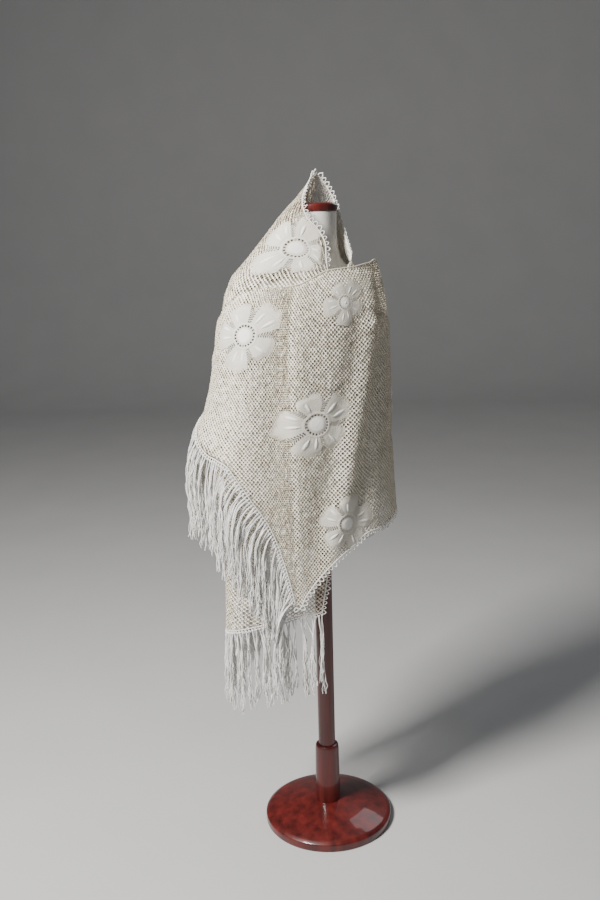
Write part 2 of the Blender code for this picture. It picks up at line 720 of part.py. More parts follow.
def add_fringes():
    """The fringe on the crossing's short end and on the hanging end."""
    edge = panel_edge(["crossing_end", "crossing_left"], -1, FRINGE_PITCH, -1)
    add_fringe("fringe_crossing", edge, CROSSING_FRINGE, CROSSING_FALL)
    edge = panel_edge(["hanging_end"], -1, FRINGE_PITCH, -1, (-128, 20))
    add_fringe("fringe_hanging", edge, HANGING_FRINGE, HANGING_FALL)


def turned(name, profile, sides, colour, roughness, coat):
    """A turned solid from a profile that runs from the bottom to the top."""
    points, faces = [], []
    for radius, height in profile[1:-1]:
        for side in range(sides):
            angle = 2 * math.pi * side / sides
            points.append((radius * math.cos(angle), radius * math.sin(angle), height))
    rings = len(profile) - 2
    for ring in range(rings - 1):
        for side in range(sides):
            nxt = (side + 1) % sides
            low, high = ring * sides, (ring + 1) * sides
            faces.append((low + side, low + nxt, high + nxt, high + side))
    if profile[0][1] == profile[1][1]:
        faces.append(tuple(reversed(range(sides))))
    if profile[-1][1] == profile[-2][1]:
        faces.append(tuple((rings - 1) * sides + side for side in range(sides)))
    else:
        top = len(points)
        points.append((0, 0, profile[-1][1]))
        last = (rings - 1) * sides
        for side in range(sides):
            faces.append((last + side, last + (side + 1) % sides, top))
    return add_solid(name, points, faces, colour, roughness, coat)


def add_stand():
    """Base, socket, pole and neck cap of dark red lacquered wood."""
    lacquer = ((0.16, 0.014, 0.012), 0.16, 0.8)
    base = (
        (0, 0), (BASE_RADIUS - 0.003, 0), (BASE_RADIUS, 0.003),
        (BASE_RADIUS, BASE_RIM - 0.008), (BASE_RADIUS - 0.003, BASE_RIM - 0.002),
        (BASE_RADIUS - 0.010, BASE_RIM + 0.002), (0.130, 0.030), (0.095, 0.038),
        (0.060, 0.045), (0.034, BASE_CROWN), (0, BASE_CROWN),
    )
    turned("base", base, 30, *lacquer)
    socket_foot = BASE_CROWN + SEAT_GAP
    socket = (
        (0, socket_foot), (SOCKET_RADIUS, socket_foot), (SOCKET_RADIUS - 0.0015, SOCKET_TOP - 0.012),
        (SOCKET_RADIUS - 0.004, SOCKET_TOP - 0.004), (POLE_RADIUS + 0.002, SOCKET_TOP), (0, SOCKET_TOP),
    )
    turned("pole_socket", socket, 24, *lacquer)
    pole_foot = SOCKET_TOP + SEAT_GAP
    pole_top = FORM_BOTTOM - SEAT_GAP
    pole = ((0, pole_foot), (POLE_RADIUS, pole_foot), (POLE_RADIUS, pole_top), (0, pole_top))
    turned("pole", pole, 18, *lacquer)
    cap = (
        (0, NECK_TOP), (CAP_RADIUS - 0.003, NECK_TOP), (CAP_RADIUS, NECK_TOP + 0.003),
        (CAP_RADIUS, NECK_TOP + CAP_THICK - 0.004), (CAP_RADIUS - 0.004, NECK_TOP + CAP_THICK),
        (0, NECK_TOP + CAP_THICK),
    )
    turned("neck_cap", cap, 28, *lacquer)


def add_form():
    """The padded torso with its neck, turned a little to the right."""
    table = np.array(FORM_SECTIONS)
    points = []
    for height in FORM_RINGS:
        half_width, front, back = smooth_curve(height, table[:, 0], table[:, 1:])
        for side in range(FORM_SIDES):
            angle = 2 * math.pi * side / FORM_SIDES
            across = half_width * math.sin(angle)
            ahead = math.cos(angle) * (front if math.cos(angle) > 0 else back)
            x = across * math.cos(FORM_TURN) + ahead * math.sin(FORM_TURN)
            y = across * math.sin(FORM_TURN) - ahead * math.cos(FORM_TURN)
            points.append((x, y, height))
    faces = [tuple(reversed(range(FORM_SIDES)))]
    for ring in range(len(FORM_RINGS) - 1):
        low, high = ring * FORM_SIDES, (ring + 1) * FORM_SIDES
        for side in range(FORM_SIDES):
            after = (side + 1) % FORM_SIDES
            faces.append((low + side, low + after, high + after, high + side))
    faces.append(tuple((len(FORM_RINGS) - 1) * FORM_SIDES + side for side in range(FORM_SIDES)))
    add_solid("form_torso", points, faces, (0.85, 0.84, 0.82), 0.45)


def clear_scene():
    for leftover in list(bpy.data.objects):
        bpy.data.objects.remove(leftover, do_unlink=True)


clear_scene()
add_stand()
add_form()
add_neck_fold()
add_inner_half()
add_back()
add_crossing()
add_edgings()
for flower in FLOWERS:
    add_flower(*flower)
add_fringes()
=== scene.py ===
"""Lace stole on a padded dress form and its turned stand: how the part looks.

Metres, +Z up, -Y the front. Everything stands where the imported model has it.
"""

import math

import bpy
import numpy as np
from mathutils import Matrix, Vector


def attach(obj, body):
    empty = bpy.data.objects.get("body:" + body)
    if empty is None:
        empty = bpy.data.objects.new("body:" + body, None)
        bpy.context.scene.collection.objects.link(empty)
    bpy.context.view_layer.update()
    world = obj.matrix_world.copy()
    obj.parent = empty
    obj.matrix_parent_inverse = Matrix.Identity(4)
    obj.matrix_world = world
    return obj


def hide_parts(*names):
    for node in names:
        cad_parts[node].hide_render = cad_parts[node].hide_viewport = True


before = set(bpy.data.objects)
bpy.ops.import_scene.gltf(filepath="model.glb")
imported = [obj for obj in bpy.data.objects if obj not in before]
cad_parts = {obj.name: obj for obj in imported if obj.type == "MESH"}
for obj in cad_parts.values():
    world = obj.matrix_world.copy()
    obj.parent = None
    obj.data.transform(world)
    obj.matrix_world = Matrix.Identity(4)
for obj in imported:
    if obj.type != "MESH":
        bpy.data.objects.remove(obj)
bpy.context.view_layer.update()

# ---- The view ----
# The form stands on a plain pale floor that curves up far behind it. The
# main light is a large soft one, high at the left front, as in the photograph.

SENSOR = 36.0
PICTURE_HEIGHT = 900
FOCAL_PIXELS = 991
EYE = (-0.0476, -2.27, 1.5127)
LOOK_DOWN = math.radians(13.5)
ROLL = math.radians(-1.6)


def show(name, data):
    """A new object in the scene."""
    thing = bpy.data.objects.new(name, data)
    bpy.context.scene.collection.objects.link(thing)
    return thing


camera_data = bpy.data.cameras.new("camera")
camera_data.sensor_fit = "VERTICAL"
camera_data.sensor_height = SENSOR
camera_data.lens = FOCAL_PIXELS / PICTURE_HEIGHT * SENSOR
camera = show("camera", camera_data)
camera.matrix_world = (
    Matrix.Translation(EYE)
    @ Matrix.Rotation(math.pi / 2 - LOOK_DOWN, 4, "X")
    @ Matrix.Rotation(ROLL, 4, "Z")
)
bpy.context.scene.camera = camera


def add_light(name, place, aim, size, watts, colour=(1.0, 1.0, 1.0)):
    """A square soft light that points at a place."""
    data = bpy.data.lights.new(name, "AREA")
    data.size, data.energy, data.color = size, watts, colour
    light = show(name, data)
    light.location = place
    turn = (Vector(aim) - Vector(place)).to_track_quat("-Z", "Y")
    light.rotation_euler = turn.to_euler()


CHEST = (0.0, 0.0, 1.15)
WORLD_COLOUR = (0.8, 0.82, 0.85, 1.0)
WORLD_STRENGTH = 0.13
add_light("key_light", (-1.62, -1.42, 2.8), CHEST, 0.7, 240, (1.0, 0.975, 0.93))
add_light("fill_light", (2.2, -1.6, 1.4), CHEST, 1.6, 1.5, (0.92, 0.96, 1.0))
add_light("back_light", (1.2, 1.6, 2.2), CHEST, 1.0, 8, (0.95, 0.97, 1.0))

world = bpy.data.worlds.new("studio")
world.use_nodes = True
background = world.node_tree.nodes["Background"].inputs
background["Color"].default_value = WORLD_COLOUR
background["Strength"].default_value = WORLD_STRENGTH
bpy.context.scene.world = world


def add_mesh(name, points, faces):
    """An object at the origin whose points are in the model's own frame."""
    mesh = bpy.data.meshes.new(name)
    mesh.from_pydata(np.asarray(points, float).reshape(-1, 3).tolist(), [], faces)
    mesh.validate()
    mesh.shade_smooth()
    return show(name, mesh)


class Amount:
    """What a node gives out. A sum written with it becomes a node of its own."""

    def __init__(self, nodes, node, outlet):
        self.nodes, self.node, self.outlet = nodes, node, outlet

    def link(self, socket):
        self.nodes.tree.links.new(self.node.outputs[self.outlet], socket)

    def __add__(self, other):
        return self.nodes.sum("ADD", self, other)

    def __sub__(self, other):
        return self.nodes.sum("SUBTRACT", self, other)

    def __mul__(self, other):
        return self.nodes.sum("MULTIPLY", self, other)

    def __truediv__(self, other):
        return self.nodes.sum("DIVIDE", self, other)


class Nodes:
    """A tree of nodes, written down one node after another."""

    def put(self, socket, value):
        if isinstance(value, Amount):
            value.link(socket)
        elif isinstance(value, tuple) and len(value) == 3 and len(socket.default_value) == 4:
            socket.default_value = (*value, 1.0)
        else:
            socket.default_value = value

    def node(self, kind, sockets=None, outlet=0, **settings):
        """One node: its settings first, then the values or links of its sockets."""
        node = self.tree.nodes.new(kind)
        for name, value in settings.items():
            setattr(node, name, value)
        for name, value in (sockets or {}).items():
            self.put(node.inputs[name], value)
        return Amount(self, node, outlet)

    def sum(self, operation, first, second):
        return self.node("ShaderNodeMath", {0: first, 1: second}, operation=operation)


class Finish(Nodes):
    """A Principled material, its fixed numbers set on the shader's own sockets."""

    def __init__(self, name, fixed):
        self.material = bpy.data.materials.new(name)
        self.material.use_nodes = True
        self.tree = self.material.node_tree
        self.shader = self.tree.nodes["Principled BSDF"]
        for socket, value in fixed.items():
            self.shader.inputs[socket].default_value = value

    def coordinates(self, scale=(1, 1, 1)):
        place = self.node("ShaderNodeTexCoord", outlet="Object")
        return self.node("ShaderNodeMapping", {"Vector": place, "Scale": scale})

    def noise(self, scale, detail=2.0, stretch=(1, 1, 1)):
        place = self.coordinates(stretch)
        return self.node("ShaderNodeTexNoise", {"Vector": place, "Scale": scale, "Detail": detail})

    def light_and_shade_mark(self):
        """The mark from 0 to 1 that the mesh carries: high at its knots and proud parts, which get
        a painted highlight, and low elsewhere, which gets painted shade.
        """
        return self.node("ShaderNodeAttribute", outlet="Fac", attribute_name="knot")

    def blend(self, factor, low, high):
        """A colour between two others."""
        return self.node("ShaderNodeMix", {0: factor, 6: low, 7: high}, 2, data_type="RGBA")

    def span(self, value, low, high):
        """A number stretched so that low and high become 0 and 1."""
        return self.node("ShaderNodeMapRange", {"Value": value, "From Min": low, "From Max": high})

    def bump(self, height, strength, distance):
        sockets = {"Height": height, "Strength": strength, "Distance": distance}
        self.feed("Normal", self.node("ShaderNodeBump", sockets))

    def feed(self, socket, value):
        self.put(self.shader.inputs[socket], value)


def fabric(name, roughness, sheen, sheen_roughness, specular):
    """A finish with the soft sheen of thread."""
    return Finish(name, {
        "Roughness": roughness, "Sheen Weight": sheen, "Sheen Roughness": sheen_roughness,
        "Specular IOR Level": specular,
    })


def dress(thing, finish):
    thing.data.materials.clear()
    thing.data.materials.append(finish.material)


FLOOR_HALF = 9.0
BACKDROP_AT = 8.0
BACKDROP_BEND = 2.5
BACKDROP_TOP = 6.0
BEND_STEPS = 12
sweep = [(-FLOOR_HALF, 0.0), (BACKDROP_AT - BACKDROP_BEND, 0.0)]
for step in range(1, BEND_STEPS + 1):
    angle = math.pi / 2 * step / BEND_STEPS
    sweep.append((
        BACKDROP_AT - BACKDROP_BEND + BACKDROP_BEND * math.sin(angle),
        BACKDROP_BEND - BACKDROP_BEND * math.cos(angle),
    ))
sweep.append((BACKDROP_AT, BACKDROP_TOP))
FLOOR_DROP = 0.0004
floor_points = [(side * FLOOR_HALF, y, z - FLOOR_DROP) for y, z in sweep for side in (-1, 1)]
floor_faces = [(2 * i, 2 * i + 1, 2 * i + 3, 2 * i + 2) for i in range(len(sweep) - 1)]
floor = add_mesh("floor", floor_points, floor_faces)
paper = Finish("pale_paper", {"Roughness": 0.7})
paper.feed("Base Color", paper.blend(paper.noise(3.0), (0.5, 0.5, 0.505), (0.55, 0.55, 0.55)))
paper.bump(paper.noise(220.0), 0.05, 0.001)
dress(floor, paper)

# ---- The stand ----
# Base, socket, pole and neck cap are turned from hardwood, stained a deep
# mahogany red and lacquered to a gloss. The pole is glued into its socket.


def between_rings(rings, sides):
    """The faces of a stack of rings with the same number of points each."""
    return [
        (ring * sides + side, ring * sides + (side + 1) % sides,
         (ring + 1) * sides + (side + 1) % sides, (ring + 1) * sides + side)
        for ring in range(rings - 1) for side in range(sides)
    ]


def turned(name, profile, sides=96):
    """A lathe-turned solid; the profile runs from the bottom to the top."""
    points = []
    for radius, height in profile:
        for side in range(sides):
            angle = 2 * math.pi * side / sides
            points.append((radius * math.cos(angle), radius * math.sin(angle), height))
    faces = between_rings(len(profile), sides)
    foot, top = len(points), len(points) + 1
    points += [(0, 0, profile[0][1]), (0, 0, profile[-1][1])]
    last = (len(profile) - 1) * sides
    for side in range(sides):
        after = (side + 1) % sides
        faces.append((after, side, foot))
        faces.append((last + side, last + after, top))
    solid = add_mesh(name, points, faces)
    solid.data.set_sharp_from_angle(angle=math.radians(38))
    return solid


def rounded(corners, radius, steps=5):
    """A profile with each inner corner rounded to about the given radius."""
    path = [corners[0]]
    for before, corner, after in zip(corners, corners[1:], corners[2:]):
        before, corner, after = (np.array(point, float) for point in (before, corner, after))
        back, ahead = before - corner, after - corner
        reach = min(radius, np.linalg.norm(back) * 0.45, np.linalg.norm(ahead) * 0.45)
        start = corner + back / np.linalg.norm(back) * reach
        end = corner + ahead / np.linalg.norm(ahead) * reach
        for t in np.linspace(0, 1, steps):
            path.append(tuple(start * (1 - t) ** 2 + corner * 2 * t * (1 - t) + end * t**2))
    path.append(corners[-1])
    return path


BASE_RADIUS = 0.16
BASE_RIM = 0.022
BASE_CROWN = 0.05
SOCKET_RADIUS = 0.031
SOCKET_TOP = 0.204
POLE_RADIUS = 0.021
SEAT_GAP = 0.0003
FORM_BOTTOM = 0.76
NECK_TOP = 1.5127
CAP_RADIUS = 0.0505
CAP_TOP = NECK_TOP + 0.019

lacquered_wood = Finish("lacquered_mahogany", {
    "Roughness": 0.2, "Coat Weight": 0.6, "Coat Roughness": 0.06, "Specular IOR Level": 0.35,
})
grain = lacquered_wood.noise(38.0, 5.0, (1.0, 1.0, 0.07))
pores = lacquered_wood.noise(420.0, 2.0, (1.0, 1.0, 0.04))
tone = lacquered_wood.span(grain * 0.8 + pores * 0.2, 0.3, 0.7)
dark_red, red = (0.03, 0.003, 0.003), (0.135, 0.013, 0.01)
lacquered_wood.feed("Base Color", lacquered_wood.blend(tone, dark_red, red))
lacquered_wood.feed("Roughness", lacquered_wood.span(grain, -1.2, 3.2))
lacquered_wood.bump(pores, 0.05, 0.0004)

base_profile = [(0.0001, 0.0)] + rounded([
    (BASE_RADIUS - 0.01, 0), (BASE_RADIUS, 0.0), (BASE_RADIUS, BASE_RIM - 0.004),
    (BASE_RADIUS - 0.009, BASE_RIM + 0.002), (0.13, 0.03), (0.095, 0.038), (0.06, 0.045),
    (0.034, BASE_CROWN),
], 0.003)
socket_profile = rounded([
    (SOCKET_RADIUS, BASE_CROWN + SEAT_GAP), (SOCKET_RADIUS, 0.075),
    (SOCKET_RADIUS - 0.0015, SOCKET_TOP - 0.012), (SOCKET_RADIUS - 0.003, SOCKET_TOP - 0.002),
    (POLE_RADIUS + 0.001, SOCKET_TOP),
], 0.003)
pole_heights = np.linspace(SOCKET_TOP + SEAT_GAP, FORM_BOTTOM - SEAT_GAP, 12)
pole_profile = [(POLE_RADIUS, height) for height in pole_heights]
cap_profile = [(0.03, NECK_TOP)] + rounded([
    (CAP_RADIUS - 0.004, NECK_TOP), (CAP_RADIUS, NECK_TOP + 0.002), (CAP_RADIUS, CAP_TOP - 0.004),
    (CAP_RADIUS - 0.005, CAP_TOP), (0.006, CAP_TOP),
], 0.002)
for node, profile in (
    ("base", base_profile), ("pole_socket", socket_profile),
    ("pole", pole_profile), ("neck_cap", cap_profile),
):
    part = turned(node + "_turned", profile)
    dress(part, lacquered_wood)
    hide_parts(node)
    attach(part, "root")

# ---- The padded form ----
# A limbless torso of papier-mache under thin wadding, covered in off-white satin.
# The cover is cut in panels, so shallow seams run down it from the neck.


def cubic(t, start, start_lean, end, end_lean):
    """The smooth way from one value to the next, with the leans at both."""
    return (
        start * (2 * t**3 - 3 * t**2 + 1) + start_lean * (t**3 - 2 * t**2 + t)
        + end * (3 * t**2 - 2 * t**3) + end_lean * (t**3 - t**2)
    )


def wrapped(turn):
    """A turn between -180 and 180 degrees."""
    return np.mod(turn + 180, 360) - 180


def smooth_curve(at, places, values):
    """A smooth line through the values at rising places, level past its ends."""
    places = np.asarray(places, float)
    values = np.asarray(values, float)
    at = np.clip(np.asarray(at, float), places[0], places[-1])
    steps = np.diff(places)
    slopes = np.diff(values, axis=0) / steps.reshape((-1,) + (1,) * (values.ndim - 1))
    lean = np.empty_like(values)
    lean[0], lean[-1] = slopes[0], slopes[-1]
    lean[1:-1] = (slopes[:-1] + slopes[1:]) / 2
    k = np.clip(np.searchsorted(places, at, side="right") - 1, 0, len(steps) - 1)
    span = steps[k]
    t = (at - places[k]) / span
    shape = at.shape + (1,) * (values.ndim - 1)
    t, span = t.reshape(shape), span.reshape(shape)
    return cubic(t, values[k], lean[k] * span, values[k + 1], lean[k + 1] * span)


FORM_TURN = math.radians(25)
NECK_RADIUS = 0.0485
# Height, half width, front reach, back reach
FORM_SECTIONS = np.array((
    (0.76, 0.14, 0.102, 0.106), (0.86, 0.146, 0.106, 0.112), (1.02, 0.112, 0.088, 0.09),
    (1.14, 0.128, 0.104, 0.096), (1.24, 0.14, 0.118, 0.098), (1.32, 0.142, 0.098, 0.096),
    (1.358, 0.134, 0.078, 0.08), (1.382, 0.098, 0.062, 0.064), (1.4, 0.066, 0.055, 0.055),
    (1.425, 0.053, 0.0505, 0.0505), (1.455, NECK_RADIUS, NECK_RADIUS, NECK_RADIUS),
    (NECK_TOP - SEAT_GAP, NECK_RADIUS, NECK_RADIUS, NECK_RADIUS),
))
FORM_SIDES = 144
SEAM_TURNS = (-90, -35, 35, 90, 145, 180, 215)
SEAM_DEPTH = 0.0009
SEAM_HALF = 2.2

form_heights = np.linspace(FORM_BOTTOM, NECK_TOP - SEAT_GAP, 110)
section = smooth_curve(form_heights, FORM_SECTIONS[:, 0], FORM_SECTIONS[:, 1:])[:, None, :]
angle = np.linspace(0, 2 * math.pi, FORM_SIDES, endpoint=False)[None, :]
groove = sum(
    np.exp(-(wrapped(np.degrees(angle) - turn) / SEAM_HALF) ** 2) for turn in SEAM_TURNS
)
across = section[..., 0] * np.sin(angle)
ahead = np.cos(angle) * np.where(np.cos(angle) > 0, section[..., 1], section[..., 2])
drawn_in = 1 - SEAM_DEPTH * groove / np.hypot(across, ahead)
across, ahead = across * drawn_in, ahead * drawn_in
form_points = np.stack([
    across * math.cos(FORM_TURN) + ahead * math.sin(FORM_TURN),
    across * math.sin(FORM_TURN) - ahead * math.cos(FORM_TURN),
    np.broadcast_to(form_heights[:, None], across.shape),
], axis=-1)
form_faces = [tuple(reversed(range(FORM_SIDES)))] + between_rings(len(form_heights), FORM_SIDES)
last_ring = (len(form_heights) - 1) * FORM_SIDES
form_faces.append(tuple(range(last_ring, last_ring + FORM_SIDES)))
form = add_mesh("form_cover", form_points, form_faces)
form.data.set_sharp_from_angle(angle=math.radians(50))

satin = fabric("ivory_satin", 0.38, 0.35, 0.4, 0.45)
shade = satin.noise(9.0, 3.0)
threads = satin.node("ShaderNodeTexWave", {
    "Vector": satin.coordinates(), "Scale": 420.0, "Distortion": 1.2, "Detail": 1.0,
}, bands_direction="Z")
satin.feed("Base Color", satin.blend(shade, (0.66, 0.64, 0.6), (0.78, 0.76, 0.73)))
satin.feed("Roughness", satin.span(shade, -0.6, 2.0))
satin.bump(threads * 0.6 + satin.noise(60.0) * 0.4, 0.1, 0.0006)
dress(form, satin)
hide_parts("form_torso")
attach(form, "root")

# ---- The stole's net ----
# One stole about 0.68 m wide and 1.8 m long, worked in fine off-white yarn as a
# net of small round holes between raised knots. It goes round the neck, down the
# back, round under the right arm and across the front to the left. Its inner end
# lies below that crossing and hangs down at the left front.

# Outer reach of the crossing layer from the neck's axis in mm: the height, then the
# reach every 30 degrees from the front round by the right
REACH = np.array((
    (340, 140, 140, 150, 170, 180, 170, 160, 160, 180, 232, 262, 182),
    (560, 142, 140, 150, 172, 182, 170, 160, 160, 180, 230, 264, 182),
    (700, 145, 142, 154, 175, 184, 170, 160, 160, 185, 232, 262, 182),
    (800, 146, 142, 156, 176, 184, 170, 160, 162, 200, 274, 266, 185),
    (900, 146, 141, 151, 170, 178, 165, 155, 164, 213, 302, 272, 188),
    (1000, 148, 141, 149, 166, 173, 160, 151, 164, 216, 298, 266, 188),
    (1100, 150, 142, 149, 164, 171, 158, 149, 162, 204, 257, 246, 185),
    (1200, 152, 144, 150, 163, 169, 156, 147, 158, 192, 236, 230, 180),
    (1280, 146, 139, 147, 160, 166, 153, 143, 154, 184, 226, 218, 170),
    (1340, 132, 125, 136, 151, 158, 144, 133, 145, 173, 214, 201, 152),
    (1380, 114, 116, 128, 142, 148, 131, 118, 130, 159, 196, 179, 130),
    (1410, 96, 104, 117, 132, 136, 117, 102, 115, 142, 172, 152, 108),
)) / 1000
# How far the inner layer lies inside the crossing layer, in the same columns
INSET = np.array((
    (340, 15, 9, 9, 0, 0, 0, 0, 0, 0, 10, 12, 16),
    (750, 15, 10, 9, 0, 0, 0, 0, 0, 7, 23, 15, 17),
    (920, 15, 11, 11, 6, 0, 0, 0, 0, 16, 58, 27, 17),
    (1100, 13, 12, 12, 8, 0, 0, 0, 0, 12, 23, 19, 15),
    (1300, 10, 10, 11, 7, 0, 0, 0, 0, 9, 10, 10, 11),
    (1410, 9, 9, 9, 6, 0, 0, 0, 0, 9, 9, 9, 9),
)) / 1000
# Main folds: turn and height of the top, turn and height of the foot, half the
# width in degrees, and the rise, which is below zero for a trough
FADE_IN = (-0.05, 12)
FADE_OUT = (1.35, 9)
CROSSING_FOLDS = (
    (62, 1.33, 18, 0.86, 9, 0.007), (74, 1.3, 40, 0.88, 11, -0.007),
    (38, 1.3, 2, 0.9, 9, -0.004), (-16, 1.26, -18, 0.82, 8, 0.005),
    (-30, 1.24, -34, 0.88, 8, -0.007), (-44, 1.24, -50, 0.96, 8, 0.006),
    (-58, 1.22, -66, 1.02, 8, -0.005), (96, 1.3, 92, 0.82, 9, 0.004),
)
HANGING_FOLDS = (
    (-10, 0.95, -8, 0.5, 6, 0.004), (-22, 0.95, -20, 0.5, 6, -0.005),
    (-34, 0.95, -33, 0.5, 6, 0.005), (-46, 0.95, -45, 0.5, 5, -0.006),
    (-84, 0.95, -82, 0.45, 8, -0.008), (-106, 0.95, -104, 0.45, 9, 0.006),
)
BACK_FOLDS = (
    (150, 1.3, 140, 0.86, 9, -0.006), (172, 1.3, 166, 0.88, 9, 0.006),
    (194, 1.3, 196, 0.88, 9, -0.006), (216, 1.28, 220, 0.84, 10, 0.006),
)
# Small creases that run across: turn and height of one end and of the other, half
# the width, and the rise
SMALL_CREASES = (
    (40, 1.3, 116, 1.282, 0.013, -0.0035), (44, 1.262, 88, 1.288, 0.01, 0.003),
    (-62, 1.215, -112, 1.165, 0.013, 0.003), (-52, 1.1, -104, 1.05, 0.015, -0.0035),
    (60, 0.985, 118, 1.02, 0.015, -0.003), (150, 1.255, 204, 1.285, 0.013, -0.003),
    (160, 1.09, 220, 1.05, 0.015, 0.003), (-104, 0.85, -142, 0.955, 0.013, -0.003),
    (-96, 1.235, -150, 1.29, 0.013, 0.003),
)
LAYER_FOLDS = {
    "crossing": CROSSING_FOLDS + BACK_FOLDS,
    "inner": HANGING_FOLDS + BACK_FOLDS,
    "back": BACK_FOLDS,
}
# Edges of the stretches: turn from the front in degrees, and height
CROSSING_TOP = (
    (125, 1.38), (104, 1.38), (92, 1.402), (66, 1.4), (42, 1.394), (26, 1.392),
    (10, 1.388), (-4, 1.376), (-18, 1.362), (-34, 1.357), (-48, 1.357), (-62, 1.336),
    (-78, 1.285), (-95, 1.235), (-114, 1.2),
)
CROSSING_FOOT = (
    (125, 0.85), (105, 0.832), (88, 0.815), (66, 0.799), (56, 0.797), (46, 0.795),
    (37, 0.782), (28, 0.765), (16, 0.75), (5, 0.728), (-6, 0.697), (-15, 0.664),
    (-22, 0.634), (-27, 0.705), (-33, 0.782), (-38, 0.838), (-43, 0.884), (-48, 0.93),
    (-53, 0.966), (-60, 0.98), (-68, 0.988), (-75, 1.01), (-83, 1.045), (-94, 1.085),
    (-114, 1.13),
)
BACK_FOOT = ((-235, 0.85), (-210, 0.88), (-180, 0.905), (-165, 0.905), (-150, 0.89))
HANGING_FOOT = (
    (9, 0.612), (-20, 0.604), (-40, 0.588), (-54, 0.572), (-66, 0.56), (-84, 0.572),
    (-106, 0.6), (-126, 0.68), (-150, 0.89),
)
HANGING_EDGE = ((0.55, -7), (0.612, -3), (0.666, 1), (0.739, 5.6), (0.9, 8), (1.1, 9))
SHOULDER_SEAM = 1.3803
# Neck edge: x, y, z, the turn of its foot on the shoulder seam, and how hollow
# the cloth lies below it
NECK_EDGE = np.array((
    (0.023, -0.087, 1.388, 9, 0.0), (0.021, -0.08, 1.414, -4, 0.0),
    (0.019, -0.073, 1.448, -20, 0.0), (0.003, -0.068, 1.477, -36, 0.0),
    (-0.017, -0.066, 1.499, -52, 0.0), (-0.026, -0.06, 1.52, -68, 0.0),
    (-0.027, -0.042, 1.541, -86, 0.0), (-0.021, -0.008, 1.561, -106, 0.05),
    (-0.01, 0.032, 1.58, -136, 0.0), (0.006, 0.068, 1.595, -176, 0.3),
    (0.026, 0.068, 1.573, -206, 0.8), (0.044, 0.058, 1.54, -228, 1.0),
    (0.0565, 0.036, 1.502, -246, 1.0), (0.064, 0.008, 1.47, -260, 1.0),
    (0.072, -0.026, 1.438, -276, 1.0), (0.077, -0.054, 1.412, -296, 0.8),
    (0.069, -0.073, 1.395, -317, 0.5),
))
HOLLOW_DROP = 1.6
OVER_CAP = (-104, 42, 0.0154)


def paired(turn, other):
    """Two values as arrays of one shape."""
    return np.broadcast_arrays(np.asarray(turn, float), np.asarray(other, float))


def running(steps):
    """The length run along a line at each of its points."""
    return np.concatenate([[0], np.cumsum(steps)])


def edge_height(edge, turn):
    places, heights = np.transpose(sorted(edge))
    return smooth_curve(turn, places, heights)


def ring_value(table, turn, height):
    """A table's value at a turn in degrees and a height, smooth both ways."""
    rows = table[:, 1:]
    ring = np.concatenate([rows[:, -2:], rows, rows[:, :3]], axis=1)
    turn, height = paired(np.mod(turn, 360.0), height)
    level = smooth_curve(height, table[:, 0], ring)
    spot = turn / 30 + 2
    k = np.floor(spot).astype(int)
    t = spot - k
    before, start, end, after = (
        np.take_along_axis(level, (k + move)[..., None], -1)[..., 0] for move in (-1, 0, 1, 2)
    )
    return cubic(t, start, (end - before) / 2, end, (after - start) / 2)


def fold_rise(folds, turn, height):
    """How far the folds lift the cloth at a turn and a height."""
    turn = np.asarray(turn, float)
    rise = np.zeros(np.broadcast(turn, height).shape)
    for top_turn, top, foot_turn, foot, half_width, lift in folds:
        down = (top - height) / (top - foot)
        middle = top_turn + (foot_turn - top_turn) * down
        away = wrapped(turn - middle)
        fade = 1 / (1 + np.exp(-FADE_IN[1] * (down - FADE_IN[0])))
        fade = fade / (1 + np.exp(FADE_OUT[1] * (down - FADE_OUT[0])))
        rise = rise + lift * fade * np.exp(-((away / half_width) ** 2))
    return rise


def crease_rise(turn, height):
    turn = wrapped(np.asarray(turn, float))
    rise = np.zeros(np.broadcast(turn, height).shape)
    for start, start_height, end, end_height, half, lift in SMALL_CREASES:
        along = wrapped(turn - start) / (end - start)
        away = (height - start_height - (end_height - start_height) * along) / half
        rise = rise + lift * np.exp(-away**2) * np.exp(-(((along - 0.5) / 0.45) ** 4))
    return rise


def cloth_point(layer, turn, height):
    """Points on a layer's outer face."""
    turn, height = paired(turn, height)
    reach = ring_value(REACH, turn, height) + fold_rise(LAYER_FOLDS[layer], turn, height)
    reach = reach + crease_rise(turn, height)
    if layer == "inner":
        reach = reach - ring_value(INSET, turn, height)
    angle = np.radians(turn)
    return np.stack([reach * np.sin(angle), -reach * np.cos(angle), height], axis=-1)


def neck_fold_point(turn, down):
    """A point of the neck fold, by its turn at the seam and its share of the way down."""
    turn, down = paired(turn, np.clip(down, 0, 1))
    rows = NECK_EDGE[::-1]
    top = smooth_curve(turn, rows[:, 3], rows[:, :3])
    hollow = smooth_curve(turn, rows[:, 3], rows[:, 4])
    foot = cloth_point("inner", turn, SHOULDER_SEAM)
    point = top + (foot - top) * (down ** (1 + hollow))[..., None]
    downward = 1 - (1 - down) ** (1 + HOLLOW_DROP * hollow)
    cap_turn, cap_width, cap_lift = OVER_CAP
    over_cap = np.exp(-(((turn - cap_turn) / cap_width) ** 2)) * np.sin(math.pi * down**0.55) ** 2
    point[..., 2] = top[..., 2] + (foot[..., 2] - top[..., 2]) * downward + cap_lift * over_cap
    return point


def band(layer, top, foot):
    """A stretch's own places: a turn and a share of the way from its top to its foot."""
    def place(turn, down):
        turn, down = paired(turn, down)
        high, low = top(turn), foot(turn)
        return cloth_point(layer, turn, high + (low - high) * down)
    return place


def hanging_place(turn, down):
    """The inner half below the left shoulder, whose front edge leans as it comes down."""
    turn, down = paired(turn, down)
    height = SHOULDER_SEAM + (edge_height(HANGING_FOOT, turn) - SHOULDER_SEAM) * down
    lean = edge_height(HANGING_EDGE, height) - HANGING_EDGE[-1][1]
    return cloth_point("inner", turn + lean * ((turn + 150) / 159) ** 2, height)


